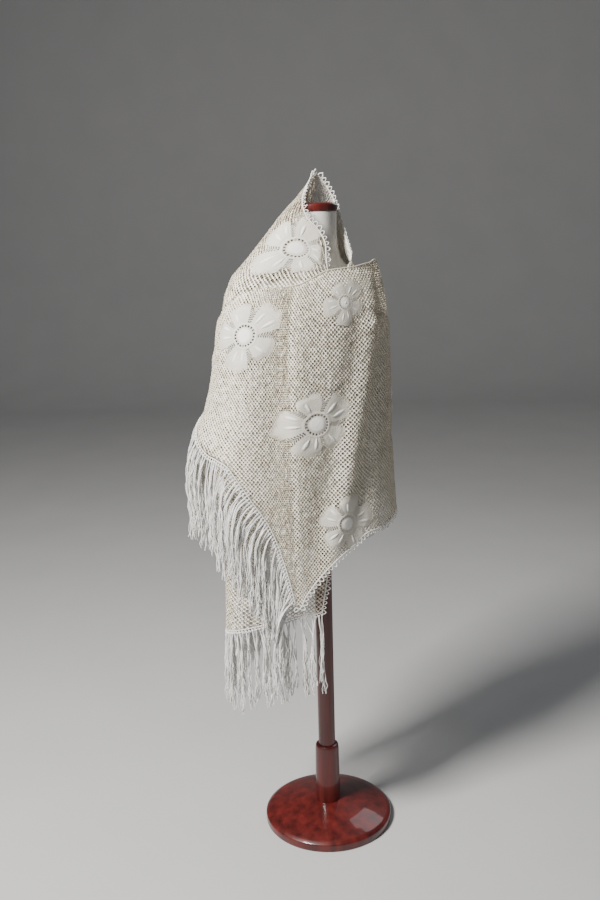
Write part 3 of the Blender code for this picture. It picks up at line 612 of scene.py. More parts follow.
def level_top(turn):
    return np.full(np.shape(turn), SHOULDER_SEAM)


STRETCHES = {
    "neck": neck_fold_point,
    "inner": hanging_place,
    "back": band("back", level_top, lambda turn: edge_height(BACK_FOOT, turn)),
    "crossing": band(
        "crossing", lambda turn: edge_height(CROSSING_TOP, turn),
        lambda turn: edge_height(CROSSING_FOOT, turn),
    ),
}


def unit(vectors):
    return vectors / np.linalg.norm(vectors, axis=-1, keepdims=True)


TURN_NUDGE = 0.4
DOWN_NUDGE = 0.008


def facing(place, turn, down, most=1):
    """Unit normals of a stretch, pointing out."""
    across = place(turn + TURN_NUDGE, down) - place(turn - TURN_NUDGE, down)
    middle = np.clip(down, DOWN_NUDGE, most - DOWN_NUDGE)
    up = place(turn, middle - DOWN_NUDGE) - place(turn, middle + DOWN_NUDGE)
    return unit(np.cross(across, up))


# Flower medallions: name, stretch, turn, height or share of the way down, radius,
# and how far the flower is turned
PETALS = 5
NOTCH_REACH = 0.72
FLOWERS = (
    ("flower_neck", "neck", -40, 0.47, 0.066, 30),
    ("flower_left_breast", "crossing", -50, 1.256, 0.078, 15),
    ("flower_front", "crossing", -3, 1.06, 0.08, 20),
    ("flower_front_hem", "crossing", 23, 0.825, 0.069, 44),
    ("flower_right_breast", "crossing", 27, 1.32, 0.05, 8),
    ("flower_right_side", "crossing", 105, 1.08, 0.052, 51),
    ("flower_back_right", "back", -200, 1.06, 0.08, 27),
    ("flower_back_left", "back", -176, 1.27, 0.074, 3),
)
NECK_FLOWER_REACH = 0.095
NECK_FLOWER_FALL = 0.125
FLOWER_COVERS = 0.84


def height_to_down(stretch, turn, height):
    """The share of the way down a stretch at which a height lies."""
    if stretch == "crossing":
        high, low = edge_height(CROSSING_TOP, turn), edge_height(CROSSING_FOOT, turn)
    else:
        high, low = SHOULDER_SEAM, edge_height(BACK_FOOT, turn)
    return (high - height) / (high - low)


def flower_place(stretch, turn, height, along, up):
    """Turn and share of the way down at a distance along and up from a flower's middle."""
    if stretch == "neck":
        return turn + np.degrees(along / NECK_FLOWER_REACH), height - up / NECK_FLOWER_FALL
    reach = float(ring_value(REACH, turn, height))
    turns = turn + np.degrees(along / reach)
    return turns, height_to_down(stretch, turns, height + up)


KNOT_STEP = 0.005
FOOT_KEEP = 0.25
EDGE_OVER = 0.75
CLOTH_DEPTH = 0.0006
BACK_FROM = -150
RIGHT_FROM = -235
END_FROM = -114
CROSSING_SPLIT = -28
SHOULDER_FOOT = 1.28
PEAK_REACH = 0.068
PEAK_OPEN = 0.76
PEAK_FULL = 1.25
NECK_BAND_ROWS = 3.5
BAND_REACH = 0.016
BAND_OPEN = 0.78
HANGING_OPEN = 0.07
UNDER_LAP = 0.045
NECK_LONGEST = 0.3
CROSSING_LEVEL = 1.41


def shawl_place(turn, down):
    """From the neck edge (0) over the shoulder seam (1) to the foot of the inner half (2)."""
    turn, down = paired(turn, down)
    lower = np.clip(down - 1, 0, 1)
    hanging, back = hanging_place(turn, lower), STRETCHES["back"](turn, lower)
    below = np.where((turn < BACK_FROM)[..., None], back, hanging)
    return np.where((down > 1)[..., None], below, neck_fold_point(turn, np.minimum(down, 1)))


def shoulder_piece(turn, height):
    """Which piece of the long net a place belongs to."""
    if turn < BACK_FROM:
        return "net_back"
    if height > SHOULDER_FOOT:
        return "net_shoulder"
    if turn < END_FROM or height < edge_height(CROSSING_FOOT, turn) + UNDER_LAP:
        return "net_hanging"
    return "net_underlay"


def above_seam(turn):
    """How much shorter the neck fold is here than at its longest."""
    downs = np.linspace(0, 1, 60)
    line = neck_fold_point(np.asarray(turn, float)[:, None], downs[None, :])
    return NECK_LONGEST - np.linalg.norm(np.diff(line, axis=1), axis=-1).sum(axis=1)


def petal_reach(spoke, lean):
    """How far the flower's edge lies from its middle at an angle, in shares of its radius."""
    petal = 360 / PETALS
    number = np.floor(spoke / petal)
    beside = np.abs(np.mod(spoke, petal) - petal / 2) / (petal / 2)
    lobe = (1 - np.clip(beside, 0, 1) ** 2.6) ** 0.75
    wavering = 1 + 0.025 * np.sin(np.radians(spoke * 11)) + 0.02 * np.sin(np.radians(spoke * 17))
    own = 0.98 + 0.08 * np.sin(2.3 * number + lean)
    long_way = 1 + 0.08 * np.cos(2 * np.radians(spoke + lean - 50))
    return (NOTCH_REACH * wavering + (1 - NOTCH_REACH) * lobe) * own * long_way


def under_flower(stretch, turn, down, height):
    """Where the net gives way to the flowers that are worked into it."""
    covered = np.zeros(turn.shape, bool)
    for place, middle, level, radius, lean in (flower[1:] for flower in FLOWERS):
        if place == "neck" and stretch == "shawl":
            along = np.radians(turn - middle) * NECK_FLOWER_REACH
            up = (level - down) * NECK_FLOWER_FALL
        elif place == stretch or (place == "back" and stretch == "shawl"):
            along = np.radians(turn - middle) * float(ring_value(REACH, middle, level))
            up = height - level
        else:
            continue
        spoke = np.degrees(np.arctan2(along, up)) - lean
        covered |= np.hypot(along, up) < radius * petal_reach(spoke, lean) * FLOWER_COVERS
    return covered


def net_lattices(stretch, place, turns, most, level_start, piece_of, base, fringed):
    """The stretch cut into the diamonds that lie between the net's knots.

    Its rows run level, and the top edge and the foot cut them. Where a flower is
    worked into the net, the diamonds are left out. Each piece of the stretch is an
    object of its own, and each diamond knows how wide it opens.
    """
    fine_turns = np.linspace(*turns, 240)
    downs = np.linspace(0, most, 160 * most)
    fine = place(fine_turns[:, None], downs[None, :])
    width = np.linalg.norm(np.diff(fine, axis=0), axis=-1).mean(axis=1)
    run = running(width)
    columns = 2 * round(run[-1] / KNOT_STEP / 2)
    turn_at = np.interp(np.linspace(0, run[-1], columns + 1), run, fine_turns)
    fine = place(turn_at[:, None], downs[None, :])
    lengths = np.cumsum(np.linalg.norm(np.diff(fine, axis=1), axis=-1), axis=1)
    lengths = np.concatenate([np.zeros((columns + 1, 1)), lengths], axis=1)
    start = level_start(turn_at)
    rows = int(math.ceil((lengths[:, -1] + start).max() / KNOT_STEP)) + 1
    depth = np.arange(rows + 1)[None, :] * KNOT_STEP - start[:, None]
    down_at = np.array([
        np.interp(spots, length, downs) for spots, length in zip(depth, lengths)
    ])
    turn_grid = np.broadcast_to(turn_at[:, None], down_at.shape)
    points = place(turn_grid, down_at) - facing(place, turn_grid, down_at, most) * CLOTH_DEPTH
    to_foot = lengths[:, -1:] - depth
    inside = (to_foot > KNOT_STEP * FOOT_KEEP) & (depth > -KNOT_STEP * EDGE_OVER)
    covered = under_flower(stretch, turn_grid, down_at, points[..., 2])
    near_foot = np.clip(1 - to_foot / BAND_REACH, 0, 1) * fringed(turn_grid)
    near_peak = np.zeros_like(near_foot)
    if stretch != "crossing":
        near_peak = np.clip(PEAK_FULL - depth / PEAK_REACH, 0, 1)
    share = base + (PEAK_OPEN - base) * near_peak
    band_rows = NECK_BAND_ROWS if stretch != "crossing" else 0
    share = np.where(depth < KNOT_STEP * band_rows, BAND_OPEN, share)
    share = share + (BAND_OPEN - share) * np.sqrt(near_foot)
    kept = {}
    for i in range(columns + 1):
        for j in range((i + 1) % 2, rows + 1, 2):
            corners = [(i - 1, j), (i, j + 1), (i + 1, j), (i, j - 1)]
            corners = [(a, b) for a, b in corners if 0 <= a <= columns and 0 <= b <= rows]
            if sum(inside[corner] for corner in corners) < 2:
                continue
            if len(corners) < 3 or sum(covered[corner] for corner in corners) > 2:
                continue
            name = piece_of(turn_at[i], points[i, j, 2])
            faces, shares = kept.setdefault(name, ([], []))
            faces.append([a * (rows + 1) + b for a, b in corners])
            shares.append(share[i, j] + (HANGING_OPEN if name == "net_hanging" else 0))
    pieces = {}
    for name, (faces, shares) in kept.items():
        used = sorted({corner for face in faces for corner in face})
        number = {old: new for new, old in enumerate(used)}
        faces = [[number[corner] for corner in face] for face in faces]
        lattice = add_mesh(name + "_lattice", points.reshape(-1, 3)[used], faces)
        lattice.data.attributes.new("open", "FLOAT", "FACE").data.foreach_set("value", shares)
        pieces[name] = lattice
    return pieces


class Steps(Nodes):
    """A Geometry Nodes tree that grows one mesh with one material."""

    def __init__(self, name):
        self.tree = bpy.data.node_groups.new(name, "GeometryNodeTree")
        kind = "NodeSocketGeometry"
        for way in ("INPUT", "OUTPUT"):
            self.tree.interface.new_socket("Geometry", in_out=way, socket_type=kind)
        self.mesh = self.node("NodeGroupInput", outlet="Geometry")

    def size(self, name, value, kind="NodeSocketFloat"):
        """A named input of the tree."""
        socket = self.tree.interface.new_socket(name, in_out="INPUT", socket_type=kind)
        if kind != "NodeSocketMaterial":
            socket.default_value = value
        return Amount(self, self.mesh.node, name)

    def named(self, title, kind="FLOAT"):
        """A value that the starting mesh carries."""
        return self.node("GeometryNodeInputNamedAttribute", {"Name": title}, data_type=kind)

    def marked(self, geometry, value):
        """The geometry with a value stored at its points, which its finish paints as highlight
        where high and as shade where low.
        """
        return self.node("GeometryNodeStoreNamedAttribute", {
            "Geometry": geometry, "Name": "knot", "Value": value,
        }, data_type="FLOAT", domain="POINT")

    def random(self, low, high, seed):
        sockets = {2: low, 3: high, "Seed": seed}
        return self.node("FunctionNodeRandomValue", sockets, 1, data_type="FLOAT")

    def vector(self, operation, sockets):
        return self.node("ShaderNodeVectorMath", sockets, operation=operation)

    def centred(self, noise):
        return self.vector("SUBTRACT", {0: noise, 1: (0.5, 0.5, 0.5)})

    def times(self, vector, factor):
        return self.vector("SCALE", {0: vector, "Scale": factor})

    def moved(self, geometry, vector, factor):
        offset = self.times(vector, factor)
        return self.node("GeometryNodeSetPosition", {"Geometry": geometry, "Offset": offset})

    def circle(self, sides, radius):
        sockets = {"Resolution": sides, "Radius": radius}
        return self.node("GeometryNodeCurvePrimitiveCircle", sockets)

    def thickened(self, curve, sides, radius, caps=True):
        """A curve made into yarn."""
        sockets = {"Curve": curve, "Profile Curve": self.circle(sides, radius), "Fill Caps": caps}
        return self.node("GeometryNodeCurveToMesh", sockets)

    def together(self, *parts):
        whole = self.node("GeometryNodeJoinGeometry")
        for part in parts:
            part.link(whole.node.inputs[0])
        return whole

    def finish(self, geometry):
        """Smooth the geometry, realize its instances, set the material, and end the tree."""
        material = self.size("Material", None, "NodeSocketMaterial")
        whole = self.node("GeometryNodeSetShadeSmooth", {"Geometry": geometry})
        whole = self.node("GeometryNodeRealizeInstances", {"Geometry": whole})
        whole = self.node("GeometryNodeSetMaterial", {"Geometry": whole, "Material": material})
        whole.link(self.tree.nodes.new("NodeGroupOutput").inputs[0])
        return self.tree


def grown(name, start, tree, finish, sizes):
    """The plain mesh that a tree grows from a starting object, which it takes away."""
    modifier = start.modifiers.new("grow", "NODES")
    modifier.node_group = tree
    sizes = dict(sizes, Material=finish.material)
    for item in tree.interface.items_tree:
        if item.in_out == "INPUT" and item.name in sizes:
            modifier[item.identifier] = sizes[item.name]
    graph = bpy.context.evaluated_depsgraph_get()
    mesh = bpy.data.meshes.new_from_object(start.evaluated_get(graph), depsgraph=graph)
    mesh.name = name
    bpy.data.objects.remove(start, do_unlink=True)
    return show(name, mesh)


HOLES_VARY = (0.68, 1.26)
WIDEST_HOLE = 0.84
KNOTS_VARY = (0.55, 1.45)
KNOT_NEIGHBOURS = 4.5
BEAD_SWELL = 0.45
BEAD_SINK = 0.35


def net_steps():
    """Each diamond gets a hole with a rounded rim, and each knot stands proud. The knots are marked
    for a painted highlight and the rims for painted shade.
    """
    steps = Steps("net")
    rise = steps.size("Knot rise", 0.002)
    drop = steps.size("Rim drop", 0.0006)
    stray = steps.size("Stray", 0.0006)
    finer = steps.size("Finer", 1, "NodeSocketInt")
    seed = steps.size("Seed", 3, "NodeSocketInt")
    spot = steps.node("GeometryNodeInputPosition")
    away = steps.node("ShaderNodeTexWhiteNoise", {"Vector": spot}, "Color", noise_dimensions="3D")
    uneven = steps.moved(steps.mesh, steps.centred(away), stray)
    cut = steps.node("GeometryNodeExtrudeMesh", {
        "Mesh": uneven, "Offset Scale": 0.0, "Individual": True,
    }, mode="FACES")
    top = Amount(steps, cut.node, "Top")
    opening = steps.random(*HOLES_VARY, seed) * steps.named("open")
    opening = steps.sum("MINIMUM", opening, WIDEST_HOLE)
    scaled = steps.node("GeometryNodeScaleElements", {
        "Geometry": cut, "Selection": top, "Scale": opening,
    }, domain="FACE")
    at_knot = steps.sum("SUBTRACT", 1.0, top)
    lift = steps.random(*KNOTS_VARY, seed) * rise * at_knot - top * drop
    normal = steps.node("GeometryNodeInputNormal")
    marked = steps.marked(steps.moved(scaled, normal, lift), at_knot)
    open_net = steps.node("GeometryNodeDeleteGeometry", {
        "Geometry": marked, "Selection": top,
    }, domain="FACE")
    rounded_net = steps.node("GeometryNodeSubdivisionSurface", {"Mesh": open_net, "Level": finer})
    beside = steps.node("GeometryNodeInputMeshVertexNeighbors", outlet="Vertex Count")
    bead = steps.sum("GREATER_THAN", beside, KNOT_NEIGHBOURS)
    beaded = steps.moved(rounded_net, normal, (bead - BEAD_SINK) * (rise * BEAD_SWELL))
    return steps.finish(steps.marked(beaded, (bead + steps.named("knot")) * 0.5))


def twisted(yarn, depth):
    """Gives a finish the fine relief of twisted yarn, and gives back its twist."""
    twist, fuzz = yarn.noise(420.0, 1.0, (1.0, 1.0, 2.2)), yarn.noise(900.0, 3.0)
    yarn.feed("Roughness", yarn.span(fuzz, -3.0, 1.4))
    yarn.bump(twist * 0.6 + fuzz * 0.4, 0.45, depth)
    return twist


lace_yarn = fabric("off_white_yarn", 0.86, 0.25, 0.5, 0.25)
twist = twisted(lace_yarn, 0.0007)
worn = lace_yarn.span(lace_yarn.noise(7.0, 3.0) * 0.5 + twist * 0.5, 0.3, 0.7)
# The darker colour is painted shade at the hole rims and the lighter one a painted highlight on the
# knots; both vary at random in tone.
between = lace_yarn.blend(worn, (0.57, 0.515, 0.41), (0.71, 0.655, 0.545))
painted_highlight = lace_yarn.blend(worn, (0.88, 0.835, 0.735), (1.0, 0.975, 0.915))
light_and_shade_mark = lace_yarn.span(lace_yarn.light_and_shade_mark(), 0.05, 0.8)
lace_yarn.feed("Base Color", lace_yarn.blend(light_and_shade_mark, between, painted_highlight))

NET_TREE = net_steps()
NET_NODES = {
    "net_shoulder": ("neck_fold_left", "left_shoulder"), "net_hanging": ("hanging_end",),
    "net_underlay": ("hanging_end",), "net_back": ("back",), "net_neck_right": ("neck_fold_right",),
    "net_crossing": ("crossing_front",), "net_crossing_end": ("crossing_left", "crossing_end"),
}
# Each long net: its stretch and places, how far round and down it goes, where its
# rows start, its pieces, how wide it opens, and where its foot carries a fringe
for stretch, place, turns, most, level_start, piece_of, base, fringed, seed in (
    ("shawl", shawl_place, (9, RIGHT_FROM), 2, above_seam, shoulder_piece,
     0.68, lambda turn: turn > -126, 3),
    ("neck", neck_fold_point, (RIGHT_FROM, -317), 1, above_seam,
     lambda turn, height: "net_neck_right", 0.6, lambda turn: turn > 0, 5),
    ("crossing", STRETCHES["crossing"], (125, END_FROM), 1,
     lambda turn: CROSSING_LEVEL - edge_height(CROSSING_TOP, turn),
     lambda turn, height: "net_crossing" if turn > CROSSING_SPLIT else "net_crossing_end",
     0.58, lambda turn: turn < -24, 9),
):
    for name, lattice in net_lattices(
        stretch, place, turns, most, level_start, piece_of, base, fringed
    ).items():
        net = grown(name, lattice, NET_TREE, lace_yarn, {
            "Knot rise": 0.0008 if name == "net_underlay" else 0.0024,
            "Rim drop": 0.0008, "Stray": 0.002,
            "Finer": 0 if name == "net_underlay" else 1, "Seed": seed,
        })
        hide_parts(*NET_NODES[name])
        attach(net, "root")

# ---- The flowers ----
# Round medallions worked closely in the same yarn: a domed middle, a ring of small
# holes, and five petals with one or two raised leaves each, joined by ladders of bars.

EYELETS = 20
SPOKES = 200
BARS = 6
LEAVES = ((-12, 12), (7,), (-15, 9), (-6, 17), (-10,))


def flower_relief(radius, spoke):
    """Height in shares of the greatest relief, and which cells are open."""
    petal = 360 / PETALS
    from_middle = np.mod(spoke, petal) - petal / 2
    beside = np.abs(from_middle)
    in_petal = beside < petal / 2 - 6 - 3 * np.clip((radius - 0.55) / 0.45, 0, 1)
    height = np.where(radius < 0.23, 0.8 * np.sqrt(np.clip(1 - (radius / 0.25) ** 2, 0, 1)), 0.1)
    height = height + 0.35 * np.exp(-(((radius - 0.335) / 0.025) ** 2))
    crown = np.clip(1 - (beside / (petal / 2 - 4)) ** 2, 0, 1)
    out = np.clip((radius - 0.38) / 0.1, 0, 1) * np.clip((1.0 - radius) / 0.22, 0, 1)
    height = height + 0.16 * crown * out
    number = np.floor(spoke / petal).astype(int) % PETALS
    for which, asides in enumerate(LEAVES):
        for aside in asides:
            across = np.where(number == which, (from_middle - aside) / 4.2, 9.0)
            along = (radius - 0.6 - 0.003 * aside) / 0.19
            slim = np.clip(1 - along**2, 0.02, 1)
            body = np.clip(1 - (across / slim) ** 2, 0, 1)
            height = height + 0.62 * np.sqrt(body) * slim**0.5
            rim = np.exp(-((np.abs(across) / slim - 1.25) ** 2) * 16)
            height = height - 0.24 * rim * (slim > 0.1)
    return height - 0.6 * np.clip((radius - 0.8) / 0.16, 0, 1), in_petal


FLOWER_LIFT = 0.0008
FLOWER_RELIEF = 0.0027
FAINT = 0.35

flower_yarn = fabric("flower_yarn", 0.62, 0.25, 0.45, 0.35)
cloudy = flower_yarn.noise(30.0, 2.0)
stitches = flower_yarn.node("ShaderNodeTexVoronoi", {
    "Vector": flower_yarn.coordinates(), "Scale": 520.0, "Smoothness": 0.4,
}, feature="SMOOTH_F1")
worn = flower_yarn.span(cloudy * 0.6 + stitches * 0.4, 0.2, 0.7)
# The darker colour is painted shade in the low parts and the lighter one a painted highlight on the
# leaves and the middle; both vary at random in tone.
between = flower_yarn.blend(worn, (0.54, 0.51, 0.44), (0.68, 0.65, 0.58))
painted_highlight = flower_yarn.blend(worn, (0.77, 0.75, 0.7), (0.92, 0.905, 0.87))
flower_yarn.feed("Base Color", flower_yarn.blend(flower_yarn.light_and_shade_mark(), between, painted_highlight))
flower_yarn.feed("Roughness", flower_yarn.span(cloudy, -1.4, 1.2))
flower_yarn.bump(stitches, 0.55, 0.0009)

hole_rows = (0.25, 0.31)
ladder_rows = np.linspace(0.4, 0.86, 2 * BARS + 1)
rings = sorted(
    list(np.linspace(0.03, 0.23, 6)) + list(hole_rows) + [0.335, 0.365]
    + list(ladder_rows) + [0.9, 0.93, 0.965, 1.0]
)
for name, stretch, turn, height, size, lean in FLOWERS:
    place = STRETCHES[stretch]
    radius, spoke = np.meshgrid(np.array(rings), np.arange(SPOKES) * 360 / SPOKES, indexing="ij")
    relief, in_petal = flower_relief(radius, spoke)
    far = size * radius * (1 + (petal_reach(spoke, lean) - 1) * radius**1.5)
    way = np.radians(spoke + lean)
    turns, downs = flower_place(stretch, turn, height, far * np.sin(way), far * np.cos(way))
    downs = np.minimum(downs, 0.999)
    lift = FLOWER_LIFT + FLOWER_RELIEF * relief * (FAINT if name == "flower_right_breast" else 1)
    points = place(turns, downs) + facing(place, turns, downs) * lift[..., None]
    down = height if stretch == "neck" else height_to_down(stretch, turn, height)
    turn, down = np.array(float(turn)), np.array(float(down))
    top = place(turn, down) + facing(place, turn, down) * (FLOWER_LIFT + FLOWER_RELIEF * 0.85)
    faces = []
    for ring in range(len(rings) - 1):
        centre = (rings[ring] + rings[ring + 1]) / 2
        eyelet = hole_rows[0] < centre < hole_rows[1]
        rung = ladder_rows[0] < centre < ladder_rows[-1]
        rung = rung and np.searchsorted(ladder_rows, centre) % 2 == 1
        for side in range(SPOKES):
            after = (side + 1) % SPOKES
            per_eyelet = SPOKES // EYELETS
            if eyelet and side % per_eyelet < per_eyelet * 0.55:
                continue
            between_petals = not (in_petal[ring, side] and in_petal[ring, after])
            if between_petals and (rung or centre > ladder_rows[-1]):
                continue
            low, high = ring * SPOKES, (ring + 1) * SPOKES
            faces.append((low + side, low + after, high + after, high + side))
    crown = len(rings) * SPOKES
    faces += [(crown, (side + 1) % SPOKES, side) for side in range(SPOKES)]
    medallion = add_mesh(name + "_worked", list(points.reshape(-1, 3)) + [top], faces)
    # The higher the relief, the lighter the colour: a painted highlight on the leaves and the
    # middle, and painted shade in the low parts.
    proud = np.append(np.clip((relief - 0.3) / 0.35, 0, 1), 1.0)
    medallion.data.attributes.new("knot", "FLOAT", "POINT").data.foreach_set("value", proud)
    dress(medallion, flower_yarn)
    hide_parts(name)
    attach(medallion, "root")

# ---- The edgings ----
# A crocheted cord runs along each open edge and carries a row of picots, small
# pointed loops of the same yarn, one to each stitch group.

PICOT_PITCH = 0.0115
PICOT_HEIGHT = 0.009
EDGING_YARN = 0.001
CORD_SHARE = 1.4


def edge_line(name, stretch, turns, down, way):
    """An edge of a stretch as a line of points with its own directions."""
    place = STRETCHES[stretch]
    points = place(turns, down)
    normal = facing(place, turns, down)
    tangent = unit(np.gradient(points, axis=0))
    outward = unit(np.cross(normal, tangent)) * way
    return line_with_ways(name, [(points, outward, normal)])


def line_with_ways(name, lines):
    """One object of open lines, each point with its way out and its way up."""
    points = np.concatenate([line[0] for line in lines])
    mesh = bpy.data.meshes.new(name)
    edges, first = [], 0
    for line in lines:
        count = len(line[0])
        edges += [(first + k, first + k + 1) for k in range(count - 1)]
        first += count
    mesh.from_pydata(points.tolist(), edges, [])
    for title, column in (("outward", 1), ("facing", 2)):
        values = np.concatenate([line[column] for line in lines])
        carried = mesh.attributes.new(title, "FLOAT_VECTOR", "POINT")
        carried.data.foreach_set("vector", values.ravel())
    return show(name, mesh)


def picot_steps():
    """A cord along the edge, with a loop of yarn on each stitch."""
    steps = Steps("picots")
    pitch = steps.size("Pitch", PICOT_PITCH)
    tall = steps.size("Loop height", PICOT_HEIGHT)
    yarn = steps.size("Yarn radius", EDGING_YARN)
    seed = steps.size("Seed", 4, "NodeSocketInt")
    line = steps.node("GeometryNodeMeshToCurve", {"Mesh": steps.mesh})
    cord = steps.thickened(line, 6, yarn * CORD_SHARE)
    spots = steps.node("GeometryNodeCurveToPoints", {"Curve": line, "Length": pitch}, mode="LENGTH")
    position = steps.node("GeometryNodeInputPosition")
    across = steps.node("ShaderNodeSeparateXYZ", {"Vector": position})
    up = Amount(steps, across.node, "Y") + tall * 0.5
    narrow = across * steps.sum("SUBTRACT", 1.25, up * 0.75 / tall)
    lifted = steps.node("ShaderNodeCombineXYZ", {"X": narrow, "Y": up, "Z": up * 0.12})
    loop = steps.node("GeometryNodeSetPosition", {
        "Geometry": steps.circle(12, tall * 0.5), "Position": lifted,
    })
    loop = steps.thickened(loop, 5, yarn, False)
    knot = steps.node("GeometryNodeMeshIcoSphere", {"Radius": yarn * 1.7, "Subdivisions": 1})
    tip = steps.node("ShaderNodeCombineXYZ", {"Y": tall})
    knot = steps.node("GeometryNodeTransform", {"Geometry": knot, "Translation": tip})
    turn = steps.node("FunctionNodeAxesToRotation", {
        "Primary Axis": steps.named("outward", "FLOAT_VECTOR"),
        "Secondary Axis": steps.named("facing", "FLOAT_VECTOR"),
    }, primary_axis="Y", secondary_axis="Z")
    loops = steps.node("GeometryNodeInstanceOnPoints", {
        "Points": spots, "Instance": steps.together(loop, knot), "Rotation": turn,
        "Scale": steps.random(0.8, 1.25, seed),
    })
    return steps.finish(steps.together(cord, loops))


edging_yarn = fabric("edging_yarn", 0.8, 0.25, 0.5, 0.3)
worn = edging_yarn.span(twisted(edging_yarn, 0.0006), 0.3, 0.7)
edging_yarn.feed("Base Color", edging_yarn.blend(worn, (0.72, 0.7, 0.64), (0.88, 0.865, 0.815)))

PICOT_TREE = picot_steps()
HANGING_SHOWS = 0.45
for node, stretch, turns, down, way, seed in (
    ("picots_neck_left", "neck", np.linspace(9, -173.5, 200), np.zeros(200), -1, 4),
    ("picots_neck_right", "neck", np.linspace(-173.5, -297, 140), np.zeros(140), -1, 5),
    ("picots_crossing", "crossing", np.linspace(125, -22, 200), np.ones(200), 1, 6),
    ("picots_back", "back", np.linspace(-150, -235, 100), np.ones(100), 1, 7),
    ("picots_hanging", "inner", np.full(100, 9.0), np.linspace(HANGING_SHOWS, 1, 100), 1, 8),
):
    line = edge_line(node + "_line", stretch, turns, down, way)
    edging = grown(node + "_worked", line, PICOT_TREE, edging_yarn, {
        "Pitch": PICOT_PITCH, "Loop height": PICOT_HEIGHT, "Yarn radius": EDGING_YARN, "Seed": seed,
    })
    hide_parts(node)
    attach(edging, "root")

# The crossing's top edge turns over in a thin soft roll. It carries no knot mark, so it takes the
# lace yarn's darker colour, the painted shade of the hole rims.
ROLL_RADIUS = 0.0013
roll_turns = np.linspace(125, -30, 260)
line = edge_line("crossing_roll_line", "crossing", roll_turns, np.zeros(260), -1)
roll = grown("crossing_roll", line, PICOT_TREE, lace_yarn, {
    "Pitch": 9.0, "Loop height": 0.001, "Yarn radius": ROLL_RADIUS / CORD_SHARE, "Seed": 9,
})
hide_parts("crossing_front")
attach(roll, "root")

# ---- The fringes ----
# Locks of fine silky yarn, knotted into a row of loops along both short ends. On
# the slanting end they leave sideways and then hang down.

FRINGE_PITCH = 0.0078
FRINGE_YARN = 0.001
GUIDE_POINTS = 18
HEADING = 0.0065
SHORTEST_LOCK = 0.76
SWAY = 0.15
PAIR_LEAN = 0.13
WAVES = 4.8
# The share of the way along the edge, how much a lock starts along the cloth, the
# share of its length at which it hangs straight down, and how far it stands off
CROSSING_FALL = (
    (0.0, 0.5, 0.4, 0.3), (0.3, 0.6, 0.4, 0.3), (0.5, 0.85, 0.45, 0.1),
    (0.66, 0.9, 0.5, 0.05), (0.78, 0.6, 0.35, 0.05), (0.9, 0.45, 0.35, 0.05),
    (1.0, 0.45, 0.8, 0.05),
)
HANGING_FALL = ((0.0, 0.3, 0.5, 0.1), (1.0, 0.3, 0.5, 0.02))


def fringe_guides(name, stretch, turns, fall, longest, seed):
    """One line for each lock, from its loop on the edge down to its tip."""
    place = STRETCHES[stretch]
    edge = place(turns, np.ones(len(turns)))
    run = running(np.linalg.norm(np.diff(edge, axis=0), axis=1))
    count = int(run[-1] / FRINGE_PITCH)
    turn_at = np.interp(np.linspace(0, run[-1], count), run, turns)
    edge = place(turn_at, np.ones(count))
    normal = facing(place, turn_at, np.ones(count))
    tangent = unit(np.gradient(edge, axis=0))
    outward = -unit(np.cross(normal, tangent))
    fall = np.array(fall)
    ways = smooth_curve(np.linspace(0, 1, count), fall[:, 0], fall[:, 1:])
    draw = np.random.default_rng(seed)
    drop = np.array([0.0, 0.0, -1.0])
    lines = []
    for k in range(count):
        sweep, straight, flare = ways[k]
        length = longest * draw.uniform(SHORTEST_LOCK, 1.0)
        sway = draw.normal(0, SWAY, 2)
        phase = draw.uniform(0, 2 * math.pi, 2)
        pair = (PAIR_LEAN if k % 2 else -PAIR_LEAN) + 0.07 * math.sin(0.9 * k)
        spot = edge[k] + outward[k] * HEADING
        path = [spot]
        for part in range(1, GUIDE_POINTS):
            t = part / (GUIDE_POINTS - 1)
            bend = min(1.0, t / straight)
            heading = outward[k] * (1 - bend) * sweep + drop * (bend + 1 - sweep)
            heading = heading + normal[k] * flare * (1 - bend)
            heading = heading - tangent[k] * pair * math.cos(math.pi * t)
            heading = heading + tangent[k] * sway[0] * math.sin(9 * t + phase[0])
            heading = heading + normal[k] * sway[1] * math.cos(8 * t + phase[1]) * 0.6
            spot = spot + unit(heading) * length / (GUIDE_POINTS - 1)
            path.append(spot)
        path = np.array(path)
        ways_out = [np.tile(way[k], (len(path), 1)) for way in (outward, normal)]
        lines.append((path, *ways_out))
    return line_with_ways(name, lines)


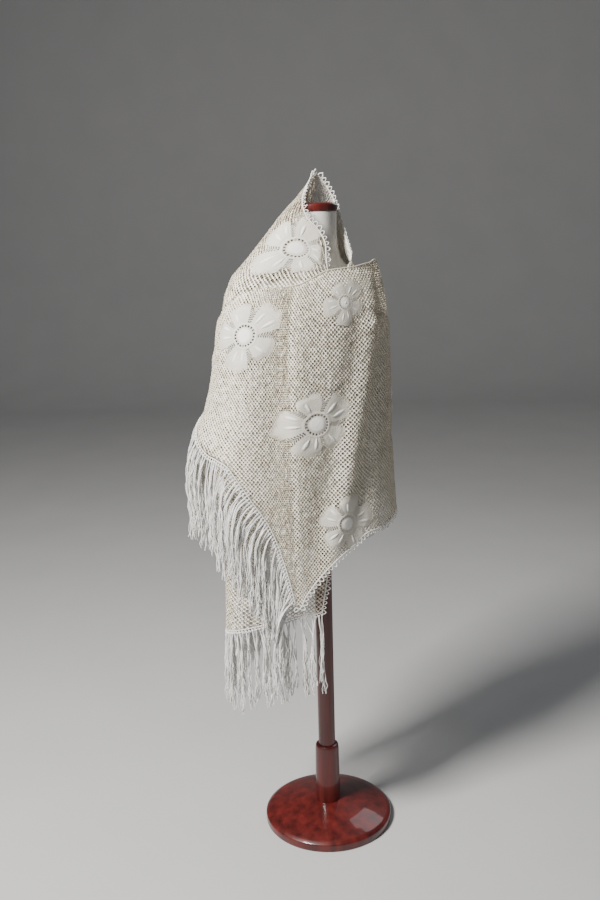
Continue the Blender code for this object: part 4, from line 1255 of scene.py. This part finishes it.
def fringe_steps():
    """Each line becomes a lock of strands that part as they hang, under a knot."""
    steps = Steps("fringe")
    strands = steps.size("Strands", 6, "NodeSocketInt")
    apart = steps.size("Apart", 0.004)
    yarn = steps.size("Yarn radius", FRINGE_YARN)
    seed = steps.size("Seed", 5, "NodeSocketInt")
    line = steps.node("GeometryNodeMeshToCurve", {"Mesh": steps.mesh})
    copies = steps.node("GeometryNodeDuplicateElements", {
        "Geometry": line, "Amount": strands,
    }, domain="SPLINE")
    own = steps.node("FunctionNodeRandomValue", {
        0: (-1.0, -1.0, -1.0), 1: (1.0, 1.0, 1.0), "Seed": seed,
    }, data_type="FLOAT_VECTOR")
    kept = steps.node("GeometryNodeCaptureAttribute", {"Geometry": copies}, domain="CURVE")
    kept.node.capture_items.new("VECTOR", "own")
    own.link(kept.node.inputs["own"])
    own = Amount(steps, kept.node, "own")
    along = steps.node("GeometryNodeSplineParameter", outlet="Factor")
    widen = steps.sum("POWER", along, 0.8) * apart + 0.0006
    position = steps.node("GeometryNodeInputPosition")
    moved_on = steps.vector("MULTIPLY_ADD", {0: own, 1: (3.0, 3.0, 3.0), 2: position})
    waves = steps.node("ShaderNodeTexNoise", {"Vector": moved_on, "Scale": 34.0, "Detail": 1.0}, 1)
    waves = steps.times(steps.centred(waves), WAVES)
    drift = steps.vector("ADD", {0: own, 1: waves})
    yarns = steps.thickened(steps.moved(kept, drift, widen), 4, yarn)
    roots = steps.node("GeometryNodeCurveToPoints", {"Curve": line}, mode="EVALUATED")
    place = steps.sum("MODULO", steps.node("GeometryNodeInputIndex"), float(GUIDE_POINTS))
    at_root = steps.node("FunctionNodeCompare", {
        0: place, 1: 0.5,
    }, data_type="FLOAT", operation="LESS_THAN")
    ball = steps.node("GeometryNodeMeshUVSphere", {"Segments": 8, "Rings": 5, "Radius": yarn * 2.6})
    knots = steps.node("GeometryNodeInstanceOnPoints", {
        "Points": roots, "Selection": at_root, "Instance": ball,
    })
    return steps.finish(steps.together(yarns, knots))


fringe_yarn = fabric("silky_yarn", 0.5, 0.3, 0.35, 0.4)
strand_tone = fringe_yarn.noise(160.0, 2.0, (1.0, 1.0, 0.25))
worn = fringe_yarn.span(strand_tone, 0.3, 0.7)
fringe_yarn.feed("Base Color", fringe_yarn.blend(worn, (0.66, 0.655, 0.63), (0.9, 0.895, 0.88)))
fringe_yarn.feed("Roughness", fringe_yarn.span(strand_tone, -1.0, 1.8))
fringe_yarn.bump(fringe_yarn.noise(1100.0), 0.4, 0.0005)

FRINGE_TREE = fringe_steps()
for node, stretch, turns, fall, longest, seed in (
    ("fringe_crossing", "crossing", np.linspace(-112, -23.5, 300), CROSSING_FALL, 0.236, 11),
    ("fringe_hanging", "inner", np.linspace(-126, 8.5, 300), HANGING_FALL, 0.205, 12),
):
    guides = fringe_guides(node + "_lines", stretch, turns, fall, longest, seed)
    fringe = grown(node + "_strands", guides, FRINGE_TREE, fringe_yarn, {
        "Strands": 6, "Apart": 0.004, "Yarn radius": FRINGE_YARN, "Seed": seed,
    })
    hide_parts(node)
    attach(fringe, "root")
    line = edge_line(node + "_edge", stretch, turns, np.ones(len(turns)), -1)
    heading = grown(node + "_heading", line, PICOT_TREE, edging_yarn, {
        "Pitch": FRINGE_PITCH, "Loop height": HEADING + 0.001, "Yarn radius": 0.0008, "Seed": seed,
    })
    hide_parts(node)
    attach(heading, "root")
